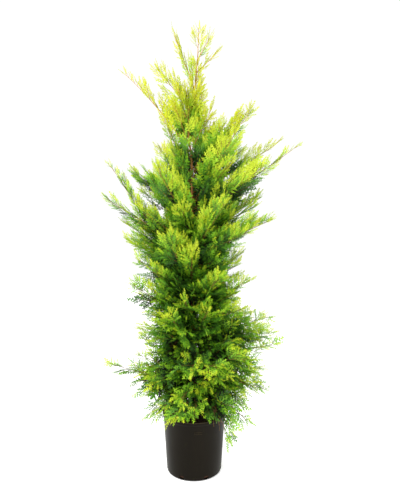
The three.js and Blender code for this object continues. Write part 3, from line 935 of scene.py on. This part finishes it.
# How fine the bark's ridges and knots are.
RIDGE_GRAIN = (260, 260, 22)
KNOT_GRAIN = 45
# How far the trunk starts under the compost.
TRUNK_SUNK = 0.004
# A bough's radius at its tip, the root radius from which it is stout, and its bark's relief.
BOUGH_TIP_RADIUS = 0.0009
STOUT_FROM = 0.0022
BOUGH_RELIEF = 0.0004


def ring_frames(points):
    """A turned place for each point of a line, with its Z along the line and no twist."""
    frames = []
    across = None
    for i, point in enumerate(points):
        along = (points[min(i + 1, len(points) - 1)] - points[max(i - 1, 0)]).normalized()
        across = along.orthogonal() if across is None else across - along * across.dot(along)
        across.normalize()
        side = along.cross(across)
        turn = Matrix((across, side, along)).transposed().to_4x4()
        frames.append(Matrix.Translation(point) @ turn)
    return frames


def extrude_limb(bm, points, radii, sides):
    """A tapering limb: a ring extruded along a line, closed at both ends."""
    frames = ring_frames(points)
    scales = [Matrix.Diagonal((radius, radius, 1, 1)) for radius in radii]
    ring = bmesh.ops.create_circle(bm, cap_ends=True, segments=sides, radius=1)["verts"]
    bmesh.ops.transform(bm, matrix=frames[0] @ scales[0], verts=ring)
    edges = list({edge for vert in ring for edge in vert.link_edges})
    for i in range(1, len(points)):
        made = bmesh.ops.extrude_edge_only(bm, edges=edges)["geom"]
        ring = [item for item in made if isinstance(item, bmesh.types.BMVert)]
        edges = [item for item in made if isinstance(item, bmesh.types.BMEdge)]
        move = frames[i] @ scales[i] @ (frames[i - 1] @ scales[i - 1]).inverted()
        bmesh.ops.transform(bm, matrix=move, verts=ring)
    bmesh.ops.edgeloop_fill(bm, edges=edges)


def raise_bark(bm, depth_at):
    """Moves each point along its normal into fibrous ridges."""
    bm.normal_update()
    for vert in bm.verts:
        ridge = 1 - 2 * abs(noise.noise(vert.co * Vector(RIDGE_GRAIN)))
        knots = noise.noise(vert.co * KNOT_GRAIN)
        vert.co += vert.normal * depth_at(vert.co) * (0.75 * ridge + 0.5 * knots)


class CYPRESS_OT_wood(Operator):
    """Makes the trunk with its root flare and the boughs, with the bark's relief in the mesh."""

    bl_idname = "cypress.wood"
    bl_label = "Trunk and boughs"

    trunk_rings = 190
    trunk_sides = 20
    stout_sides = 8
    slight_sides = 5

    def execute(self, context):
        wood = context.scene.cypress_wood
        bark = fibrous_bark("fibrous_bark", wood.bark, wood.furrow, wood.young_wood)
        young = fibrous_bark("bough_bark", wood.twig, shade(wood.twig, 0.5), wood.young_wood)
        heights = np.linspace(TRUNK_HEIGHTS[0] - TRUNK_SUNK, TRUNK_HEIGHTS[-1], self.trunk_rings)
        bm = bmesh.new()
        radii = [trunk_radius(max(h, TRUNK_HEIGHTS[0]), wood) for h in heights]
        extrude_limb(bm, [trunk_point(h) for h in heights], radii, self.trunk_sides)
        raise_bark(bm, lambda place: wood.relief * trunk_radius(max(place.z, TRUNK_HEIGHTS[0]), wood))
        bmesh.ops.recalc_face_normals(bm, faces=bm.faces)
        carry(add_piece("bark_trunk", mesh_from_bmesh("bark_trunk", bm), bark), "bark", "trunk")

        bm = bmesh.new()
        for plume in all_plumes(wood):
            if not plume.root_radius:
                continue
            stout = plume.root_radius > STOUT_FROM
            points = [Vector(point) for point in plume.points[:: 1 if stout else 3]]
            radii = BOUGH_TIP_RADIUS + plume.root_radius * np.linspace(1, 0, len(points)) ** 1.4
            single = bmesh.new()
            extrude_limb(single, points, radii, self.stout_sides if stout else self.slight_sides)
            raise_bark(single, lambda place: BOUGH_RELIEF)
            bmesh.ops.recalc_face_normals(single, faces=single.faces)
            limb = mesh_from_bmesh("limb", single)
            bm.from_mesh(limb)
            bpy.data.meshes.remove(limb)
        boughs = add_piece("bark_boughs", mesh_from_bmesh("bark_boughs", bm), young)
        carry(boughs, "bark", *nodes_named("bough_"))
        return {"FINISHED"}


# Twigs and sprays

# Between these heights the lower crown turns into the upper one, and that into the slender top.
UPPER_CROWN = (0.55, 1.05)
SLENDER_TOP = (1.45, 1.80)
# Between these heights the sprays turn slim, lose the shade painted on them near the ground, grow lighter at
# the tips of the middle crown, turn yellow, and turn yellow in the heart too.
SLIM_SPRAYS = (0.50, 0.95)
PAINTED_GROUND_SHADE = (0.18, 0.40)
MIDDLE_CROWN = (0.60, 0.85)
YELLOWING = (1.10, 1.58)
YELLOW_HEART = (1.36, 1.60)
# Sprays are withered below this height, within this share of the way out, and in this share of cases.
WITHERED_BELOW = 0.62
WITHERED_WITHIN = 0.30
WITHERED_SHARE = 0.7
# Where a bough's twigs start, in the crown and at the top, and the longest twig.
FIRST_TWIG = (0.022, 0.008)
LONGEST_TWIG = 0.17
# How wide a plume of the top is as a share of its length, by its length, and the same for the upper stem.
TOP_LENGTHS = (0.12, 0.22, 0.35, 0.48)
TOP_SPREADS = (0.26, 0.42, 0.42, 0.24)
STEM_SPREAD = 0.23
# Where a twig's sprays start and end, how much longer the one at its end and those in the heart are, and the
# share of wisps at the top.
FIRST_SPRAY = 0.008
LAST_SPRAY = 0.005
END_SPRAY = 1.45
INNER_SPRAY = 1.3
WISP_SHARE = 0.6
# How far sprays may reach past the solids' box, how clear they stay of the pot, and the share of the pot's
# width that they leave open at the front.
PAST_LOW = 0.006
PAST_HIGH = (0.006, 0.006, 0.012)
POT_CLEARANCE = 0.006
POT_FRONT = 0.9
# Above this height the trunk is seen from the front, this wide to each side, apart from one spray in so many.
GLIMPSES_FROM = TRUNK_SHOWS_FROM + 0.17
GLIMPSE_HALF = 0.009
CROSSING_EVERY = 5


class Zone(NamedTuple):
    """How far a place belongs to the upper crown and to the slender top, each from 0 to 1.

    In the lower crown the sprays are broad and droop. In the upper crown they are slim and rise.
    """

    upper: float
    top: float

    def pick(self, lower, upper, top):
        """A value that changes from the lower crown to the upper one, and from there to the top."""
        return between(between(lower, upper, self.upper), top, self.top)


def zone_at(height):
    """The zone of a height."""
    return Zone(smooth_step(height, *UPPER_CROWN), smooth_step(height, *SLENDER_TOP))


def spaced(first, last, spacing, rng):
    """Distances from first to last, spaced a little unevenly."""
    count = max(1, int((last - first) / spacing))
    return first + (last - first) * (np.arange(count) + rng.uniform(-0.3, 0.3, count) + 0.3) / count


class Sprays(NamedTuple):
    """Flat sprays, as arrays: starts, the ways they point and face, lengths, lightness and kind."""

    place: np.ndarray
    along: np.ndarray
    face: np.ndarray
    length: np.ndarray
    light: np.ndarray
    kind: np.ndarray


def gathered(groups):
    """Many groups of sprays as one."""
    return Sprays(*(np.concatenate(fields) for fields in zip(*groups)))


def chosen(sprays, mask):
    """The sprays that a mask picks."""
    return Sprays(*(field[mask] for field in sprays))


INNER, BROAD, SLIM, WISP = range(4)


class SprayKind(NamedTuple):
    """A kind of spray: side shoots' number, length and opening, leaf half width, leaves' pitch, and bend."""

    shoots: int
    widest: float
    opening: float
    thick: float
    pitch: float
    bends: tuple


SPRAY_KINDS = {
    INNER: SprayKind(7, 0.46, 46, 0.060, 0.40, (-0.15, 0.05)),
    BROAD: SprayKind(7, 0.36, 42, 0.055, 0.20, (-0.25, 0.0)),
    SLIM: SprayKind(9, 0.22, 27, 0.037, 0.15, (-0.05, 0.08)),
    WISP: SprayKind(7, 0.34, 22, 0.026, 0.40, (-0.05, 0.08)),
}


# A leaf is widest at this share of its length, and folded up by this share of its half width.
LEAF_WIDEST = 0.36
LEAF_FOLD = 0.35
# Along a spray of unit length: the leaves on its rib and their length, the span of its side shoots, the
# shortest of them, and where its tips start.
RIB_STARTS = (0.0, 0.32, 0.64)
RIB_LEAF = 0.4
SHOOTS_FROM = 0.05
SHOOTS_SPAN = 0.80
SHORTEST_SHOOT = 0.08
TIPS_FROM = 0.66


def leaf(root, way, length, half_width):
    """One scale-leaf shoot: a lozenge folded along its middle, as root, right, tip and left."""
    side = unit(np.cross(UP, way))
    middle = root + LEAF_WIDEST * length * way + LEAF_FOLD * half_width * UP
    return [root, middle - half_width * side, root + length * way, middle + half_width * side]


def spray_leaves(seed, kind):
    """A spray of unit length along +X, facing +Z: leaves as corners, and which of them are at the tips."""
    rng = np.random.default_rng(seed)
    bend = rng.uniform(*kind.bends)
    sway = rng.uniform(-0.06, 0.06)
    leaves = []

    def on_rib(x):
        return np.array([x, sway * x * x, bend * x * x])

    for start in RIB_STARTS:
        leaves.append(leaf(on_rib(start), unit(on_rib(start + 0.3) - on_rib(start)), RIB_LEAF, kind.thick))
    for i in range(kind.shoots):
        x = SHOOTS_FROM + SHOOTS_SPAN * (i / (kind.shoots - 1)) ** 0.95
        hand = 1 if i % 2 else -1
        reach = kind.widest * (1 - x) ** 0.7 * min(1.0, 0.45 + x / 0.2) + SHORTEST_SHOOT
        angle = math.radians(kind.opening - 12 * x + rng.normal(0, 4))
        way = unit(np.array([math.cos(angle), hand * math.sin(angle), rng.normal(-0.04, 0.08)]))
        root = on_rib(x)
        leaves.append(leaf(root, way, reach, kind.thick))
        inner = int(reach / kind.pitch)
        for j in range(inner):
            share = (j + 0.5) / (inner + 0.4)
            turn = (1 if (j + i) % 2 else -1) * np.radians(rng.uniform(30, 42))
            side_way = unit(turned(way, UP, turn) + np.array([0, 0, rng.normal(0, 0.1)]))
            length = SHORTEST_SHOOT + 0.12 * (1 - share)
            leaves.append(leaf(root + share * reach * way, side_way, length, kind.thick))
    leaves = np.array(leaves)
    return leaves, leaves[:, 2, 0] > TIPS_FROM


def placed(leaves, sprays):
    """The leaves of many sprays of one form, as one array of corners."""
    side = unit(np.cross(sprays.face, sprays.along))
    basis = np.stack([sprays.along, side, np.cross(sprays.along, side)], axis=2)
    basis *= sprays.length[:, None, None]
    corners = np.einsum("nij,lcj->nlci", basis, leaves) + sprays.place[:, None, None, :]
    return corners.reshape(-1, 4, 3)


def facing_up(face):
    """A direction, turned over where it faces down."""
    return face if face[2] > 0 else -face


def grow_twig(start, tangent, along, length, rise):
    """A twig as four points: it leaves along one way and bends towards its bough's way and up or down."""
    end_way = unit(along + 0.5 * tangent + rise * UP)
    middle = start + 0.5 * length * along
    return curve_points(start, middle, middle + 0.5 * length * end_way, 4)


def lightness(place, along_bough, along_twig, tone, rng):
    """How light sprays are: darker in the heart of the crown, partly the older foliage and partly painted
    shade, darker low over the pot as painted shade, and lighter towards the tips and the top, where the
    growth is young.

    A negative lightness means a withered spray.
    """
    # Sprays near the trunk and their bough's axis are made darker, partly the older foliage and partly
    # painted shade for the crown's inner shadow.
    outer = 0.60 * along_bough + 0.40 * along_twig
    height = place[:, 2]
    yellow = smooth_step(height, *YELLOWING)
    top = zone_at(height).top
    # Painted shade: sprays low over the pot are made darker.
    ground = 0.20 * smooth_step(height, *PAINTED_GROUND_SHADE) - 0.07
    ground += 0.09 * smooth_step(height, *MIDDLE_CROWN) * smooth_step(outer, 0.1, 0.5)
    ground += 0.46 * yellow * between(smooth_step(height, *YELLOW_HEART), 1.0, outer**1.5) + 0.12 * top
    uneven = rng.normal(0, 0.085, len(place)) * between(1.0, 0.5, yellow)
    light = ground + between(0.76, 0.52, yellow) * outer + tone + uneven
    light = np.minimum(light, 0.99 + top)
    shaded = (outer < WITHERED_WITHIN) & (height < WITHERED_BELOW)
    withered = shaded & (rng.random(len(place)) < WITHERED_SHARE)
    return np.where(withered, -1.0, np.maximum(light, 0.0))


def grow_sprays(twig, face, along_bough, tone, slimness, slender, foliage, rng):
    """The flat sprays along one twig, by turns left and right, and one at its end."""
    line = Line(twig)
    zone = zone_at(twig[0, 2])
    spacing = foliage.spray_spacing * between(1.0, 1.2, zone.top)
    spots = np.append(spaced(FIRST_SPRAY, line.length, spacing, rng), line.length - LAST_SPRAY)
    count = len(spots)
    share = np.clip(spots / line.length, 0, 1)
    hand = np.where(np.arange(count) % 2, 1.0, -1.0)
    hand[-1] = 0.0
    tangent = line.headings(spots)
    side = unit(np.cross(face, tangent))
    lean = np.radians(zone.pick(46, 28, 24) - 6 * share + rng.normal(0, 4, count))
    along = tangent * np.cos(lean)[:, None] + (hand * np.sin(lean))[:, None] * side
    along = unit(along + 0.04 * rng.normal(0, 1, (count, 3)))
    square = unit(np.cross(along, np.cross(face, along)))
    tilt = turned(square, along, rng.normal(0, 0.35, count))
    longest = between(foliage.longest_spray, 0.80 * foliage.longest_spray, zone.upper)
    length = np.minimum(longest, foliage.shortest_spray + 0.45 * (line.length - spots))
    slighter = between(1.0, between(0.72, 0.80, zone.top), slender * along_bough)
    length *= rng.uniform(0.8, 1.15, count) * slighter
    length[-1] *= END_SPRAY
    place = line.at(spots)
    slim_share = max(smooth_step(twig[0, 2], *SLIM_SPRAYS), slimness)
    outer_kind = np.where(rng.random(count) < slim_share, SLIM, BROAD)
    outer_kind = np.where(rng.random(count) < WISP_SHARE * zone.top, WISP, outer_kind)
    kind = np.where((along_bough + 0.4 * share < 0.5) & (zone.top < 0.3), INNER, outer_kind)
    length = np.where(kind == INNER, INNER_SPRAY * length, length)
    return Sprays(place, along, tilt, length, lightness(place, along_bough, share, tone, rng), kind)


def grow_plume(plume, index, foliage):
    """A plume's twigs and sprays, by the source's rule carried to finer twigs."""
    rng = np.random.default_rng(foliage.seed * 1000 + index)
    line = Line(plume.points)
    first = max(plume.bare * line.length, between(*FIRST_TWIG, zone_at(plume.points[0, 2]).top))
    green = line.length - first
    tone = rng.normal(0, 0.04)
    slimness = 0.85 * abs(plume.across[1])
    slender = smooth_step(line.length, *SLENDER_LENGTHS)
    stand = 1.0 if plume.bare else -0.3
    top_spread = np.interp(line.length, TOP_LENGTHS, TOP_SPREADS) if plume.root_radius else STEM_SPREAD
    twigs, groups = [], []
    hand = 1
    spacing = foliage.twig_spacing * between(0.6, 1.0, plume.outward)
    for distance in spaced(first, line.length, spacing, rng):
        u = (distance - first) / green
        out_share = plume.outward * distance / line.length
        place, tangent = line.at(distance), line.headings(distance)
        zone = zone_at(place[2])
        above = facing_up(unit(np.cross(tangent, plume.across)))
        roll_spread = between(0.9, between(0.75, 0.55, zone.top), zone.upper)
        roll = rng.normal(zone.pick(0.0, 0.4, stand), roll_spread)
        out = hand * plume.across * math.cos(roll) + above * math.sin(roll)
        lean = math.radians(zone.pick(52, 38, 42) - 12 * u + rng.normal(0, 6))
        along = unit(tangent * math.cos(lean) + out * math.sin(lean) + 0.2 * zone.top * UP)
        crown_spread = between(0.36, 0.26, zone.upper) - 0.06 * slender
        spread = between(crown_spread, top_spread, zone.top) * green
        taper = (1 - u) ** between(1.1, 1.15 + 0.5 * slender, zone.upper)
        width = spread * taper * (0.5 + 0.5 * min(1.0, u / 0.25)) + between(0.014, 0.011, zone.top)
        longest = min(LONGEST_TWIG, 0.8 * (line.length - distance) + 0.024)
        length = min(longest, width / math.sin(lean)) * rng.uniform(0.75, 1.2)
        twig = grow_twig(place, tangent, along, length, between(-0.3, 0.5, zone.upper))
        twigs.append(twig)
        aside = rng.uniform(-1.1, 1.1)
        outward = np.cross(plume.across, UP) * math.cos(aside) + plume.across * math.sin(aside)
        face = unit(facing_up(unit(np.cross(tangent, along))) + between(0.8, 0.15, zone.upper) * outward)
        twig_tone = tone + rng.normal(0, zone.pick(0.10, 0.13, 0.05))
        # Painted light and shade: in the upper crown, twigs above their bough are made lighter and those
        # hanging below it darker.
        twig_tone += 0.16 * zone.upper * (1 - zone.top) * (out[2] - 0.3)
        groups.append(grow_sprays(twig, face, out_share, twig_tone, slimness, slender, foliage, rng))
        hand = -hand
    end = curve_points(line.at(line.length - 0.02), line.at(line.length - 0.01), line.points[-1], 4)
    face = unit(np.cross(line.headings(line.length), plume.across))
    groups.append(grow_sprays(end, face, plume.outward, tone, slimness, slender, foliage, rng))
    return twigs, gathered(groups)


def in_pot(points):
    """Which points would be inside the pot or its lip."""
    low = points[..., 2] < POT_HIGH.z + POT_CLEARANCE
    return low & (np.hypot(points[..., 0], points[..., 1]) < POT_HIGH.x + POT_CLEARANCE)


def have_room(sprays):
    """Which sprays stay out of the pot, off its front and within the plant's own reach."""
    run = sprays.length[:, None] * sprays.along
    side = 0.3 * sprays.length[:, None] * unit(np.cross(sprays.face, sprays.along))
    middle = sprays.place + 0.6 * run
    edges = np.stack([sprays.place, sprays.place + run, middle, middle + side, middle - side], axis=1)
    low, high = np.array(CAD_BOX[0]) - PAST_LOW, np.array(CAD_BOX[1]) + PAST_HIGH
    in_front = (edges[..., 1] < 0) & (np.abs(edges[..., 0]) < POT_FRONT * POT_HIGH.x)
    blocked = in_pot(edges) | (in_front & (edges[..., 2] < POT_HIGH.z))
    return ((edges > low) & (edges < high)).all(axis=(1, 2)) & ~blocked.any(axis=1)


def beside_trunk(sprays):
    """Which sprays leave the upper trunk open to the front, apart from the few that may cross it."""
    run = sprays.length[:, None] * sprays.along
    marks = np.stack([sprays.place + share * run for share in (0.3, 0.6, 0.9)], axis=1)
    heights = np.linspace(TRUNK_SHOWS_FROM, TRUNK_SHOWS_TO, 40)
    line = np.interp(marks[..., 2], heights, [trunk_point(height)[0] for height in heights])
    level = (marks[..., 2] > GLIMPSES_FROM) & (marks[..., 2] < TRUNK_SHOWS_TO)
    hides = level & (marks[..., 1] < 0) & (np.abs(marks[..., 0] - line) < GLIMPSE_HALF)
    return ~hides.any(axis=1) | (np.arange(len(line)) % CROSSING_EVERY == 0)


# A way that no twig takes.
OFF_AXIS = (0.31, 0.17, 0.93)


def twig_tubes(twigs, root_radius, tip_radius):
    """Three-sided tapering tubes along many twigs, as points and triangles."""
    lines = np.array(twigs)
    count, steps = lines.shape[:2]
    along = unit(np.gradient(lines, axis=1))
    across = unit(np.cross(along, OFF_AXIS))
    side = np.cross(along, across)
    radii = np.linspace(root_radius, tip_radius, steps)[None, :, None]
    turns = np.radians((0, 120, 240))
    rings = np.stack([lines + radii * (across * math.cos(a) + side * math.sin(a)) for a in turns], axis=2)
    triangles = []
    for step in range(steps - 1):
        for k in range(3):
            a, b = 3 * step + k, 3 * step + (k + 1) % 3
            triangles += [(a, b, a + 3), (b, b + 3, a + 3)]
    last = 3 * (steps - 1)
    triangles += [(last, last + 1, last + 2), (2, 1, 0)]
    triangles = np.array(triangles)[None] + 3 * steps * np.arange(count)[:, None, None]
    return rings.reshape(-1, 3), triangles.reshape(-1, 3)


class CYPRESS_OT_foliage(Operator):
    """Grows twigs and flat sprays on every bough and deals the tints out by spray."""

    bl_idname = "cypress.foliage"
    bl_label = "Twigs and sprays"

    forms = 5
    shades = 7
    most_leaves = 95000
    twig_radii = (0.0011, 0.0005)
    leaf_halves = ((0, 1, 2), (0, 2, 3))

    def execute(self, context):
        foliage, wood = context.scene.cypress_foliage, context.scene.cypress_wood
        twigs, groups = [], []
        for index, plume in enumerate(all_plumes(wood)):
            grown_twigs, grown_sprays = grow_plume(plume, index, foliage)
            twigs += grown_twigs
            groups.append(grown_sprays)
        twigs = [twig for twig in twigs if not in_pot(twig).any()]
        sprays = gathered(groups)
        sprays = chosen(sprays, have_room(sprays) & beside_trunk(sprays))
        if not len(sprays.place):
            raise RuntimeError("no spray found room to grow")
        young = fibrous_bark("young_wood", wood.twig, shade(wood.twig, 0.5), wood.young_wood)
        mesh = mesh_from_arrays("young_twigs", *twig_tubes(twigs, *self.twig_radii))
        carry(add_piece("young_twigs", mesh, young), "bark", *nodes_named("foliage_"))
        self.add_sprays(sprays, foliage)
        return {"FINISHED"}

    def add_sprays(self, sprays, foliage):
        """Joins the sprays' leaves into pieces of one tint each. A spray's tips are one tint lighter."""
        last = len(TINTS) - 1
        by_tint = [[] for _ in TINTS]
        level = np.clip((sprays.light * self.shades).astype(int) + 1, 1, last)
        level[sprays.light < 0] = 0
        form = np.arange(len(level)) % self.forms
        for kind, sizes in SPRAY_KINDS.items():
            for number in range(self.forms):
                leaves, at_tip = spray_leaves(foliage.seed + number, sizes)
                for tint in range(len(TINTS)):
                    own = chosen(sprays, (sprays.kind == kind) & (form == number) & (level == tint))
                    by_tint[tint].append(placed(leaves[~at_tip], own))
                    by_tint[max(tint, min(tint + 1, last - 1))].append(placed(leaves[at_tip], own))
        for tint, groups in zip(TINTS, by_tint):
            leaves = np.concatenate(groups)
            material = waxy_spray(f"spray_{tint}", getattr(foliage, tint))
            parts = np.array_split(leaves, math.ceil(len(leaves) / self.most_leaves))
            for number, part in enumerate(parts, start=1):
                name = f"sprays_{tint}_{number:02d}"
                triangles = np.array(self.leaf_halves)[None] + 4 * np.arange(len(part))[:, None, None]
                mesh = mesh_from_arrays(name, part.reshape(-1, 3), triangles.reshape(-1, 3))
                carry(add_piece(name, mesh, material), "foliage", *nodes_named("foliage_"))


# Stage


def add_area_light(name, place, target, size, power):
    """A soft square light aimed at a point."""
    data = bpy.data.lights.new(name, "AREA")
    data.size = size
    data.energy = power
    light = bpy.data.objects.new(name, data)
    light.location = place
    light.rotation_euler = (Vector(target) - Vector(place)).to_track_quat("-Z", "Y").to_euler()
    bpy.context.scene.collection.objects.link(light)


class CYPRESS_OT_stage(Operator):
    """Makes the pale floor, the soft light, the white surround and the camera."""

    bl_idname = "cypress.stage"
    bl_label = "Stage"

    frame_height = 500
    sensor = 24.0
    floor_half = 12
    light_size = 2.4
    # Each light's place, and the point that it is aimed at.
    key_aim = ((-1.8, -2.4, 3.2), (0, 0, 1.0))
    fill_aim = ((2.4, -2.0, 1.8), (0, 0, 0.9))

    def execute(self, context):
        stage = context.scene.cypress_stage
        bm = bmesh.new()
        bmesh.ops.create_grid(bm, x_segments=2, y_segments=2, size=self.floor_half)
        floor = add_piece("floor", mesh_from_bmesh("floor", bm, smooth=False), pale_floor(stage.floor))
        add_area_light("key_light", *self.key_aim, self.light_size, stage.key)
        add_area_light("fill_light", *self.fill_aim, self.light_size, stage.fill)
        world = bpy.data.worlds.new("white_surround")
        world.use_nodes = True
        background = world.node_tree.nodes["Background"]
        background.inputs["Color"].default_value = (1, 1, 1, 1)
        background.inputs["Strength"].default_value = stage.sky
        context.scene.world = world
        context.scene.view_settings.view_transform = "Standard"
        self.add_camera(context.scene, stage)
        return {"FINISHED"}

    def add_camera(self, scene, stage):
        """A level camera in front of the plant."""
        data = bpy.data.cameras.new("camera")
        data.sensor_fit = "VERTICAL"
        data.sensor_height = self.sensor
        data.lens = self.sensor * stage.focal_pixels / self.frame_height
        camera = bpy.data.objects.new("camera", data)
        camera.location = (stage.camera_right, -stage.camera_distance, stage.camera_height)
        camera.rotation_euler = (math.radians(90), 0, 0)
        scene.collection.objects.link(camera)
        scene.camera = camera


# Sidebar and registration

MAKERS = (CYPRESS_OT_pot, CYPRESS_OT_compost, CYPRESS_OT_wood, CYPRESS_OT_foliage, CYPRESS_OT_stage)
SETTINGS = {
    "cypress_pot": PotSettings,
    "cypress_wood": WoodSettings,
    "cypress_foliage": FoliageSettings,
    "cypress_stage": StageSettings,
}


class CYPRESS_PT_sidebar(Panel):
    """Lists the settings, the plant's pieces and the stage."""

    bl_idname = "CYPRESS_PT_sidebar"
    bl_label = "Potted Leyland Cypress"
    bl_space_type = "VIEW_3D"
    bl_region_type = "UI"
    bl_category = "Cypress"

    def draw(self, context):
        for group, kind in SETTINGS.items():
            box = self.layout.box()
            for setting in kind.__annotations__:
                box.prop(getattr(context.scene, group), setting)
        for maker in MAKERS:
            self.layout.operator(maker.bl_idname)


CLASSES = (*SETTINGS.values(), *MAKERS, CYPRESS_PT_sidebar)


def register():
    """Adds the classes and the scene's settings."""
    for cls in CLASSES:
        bpy.utils.register_class(cls)
    for name, cls in SETTINGS.items():
        setattr(bpy.types.Scene, name, PointerProperty(type=cls))


def unregister():
    """Takes the settings and the classes away."""
    for name in SETTINGS:
        delattr(bpy.types.Scene, name)
    for cls in reversed(CLASSES):
        bpy.utils.unregister_class(cls)


def main():
    """Makes the stage and the plant."""
    register()
    bpy.ops.cypress.stage()
    bpy.ops.cypress.pot()
    bpy.ops.cypress.compost()
    bpy.ops.cypress.wood()
    bpy.ops.cypress.foliage()


if __name__ == "__main__":
    main()
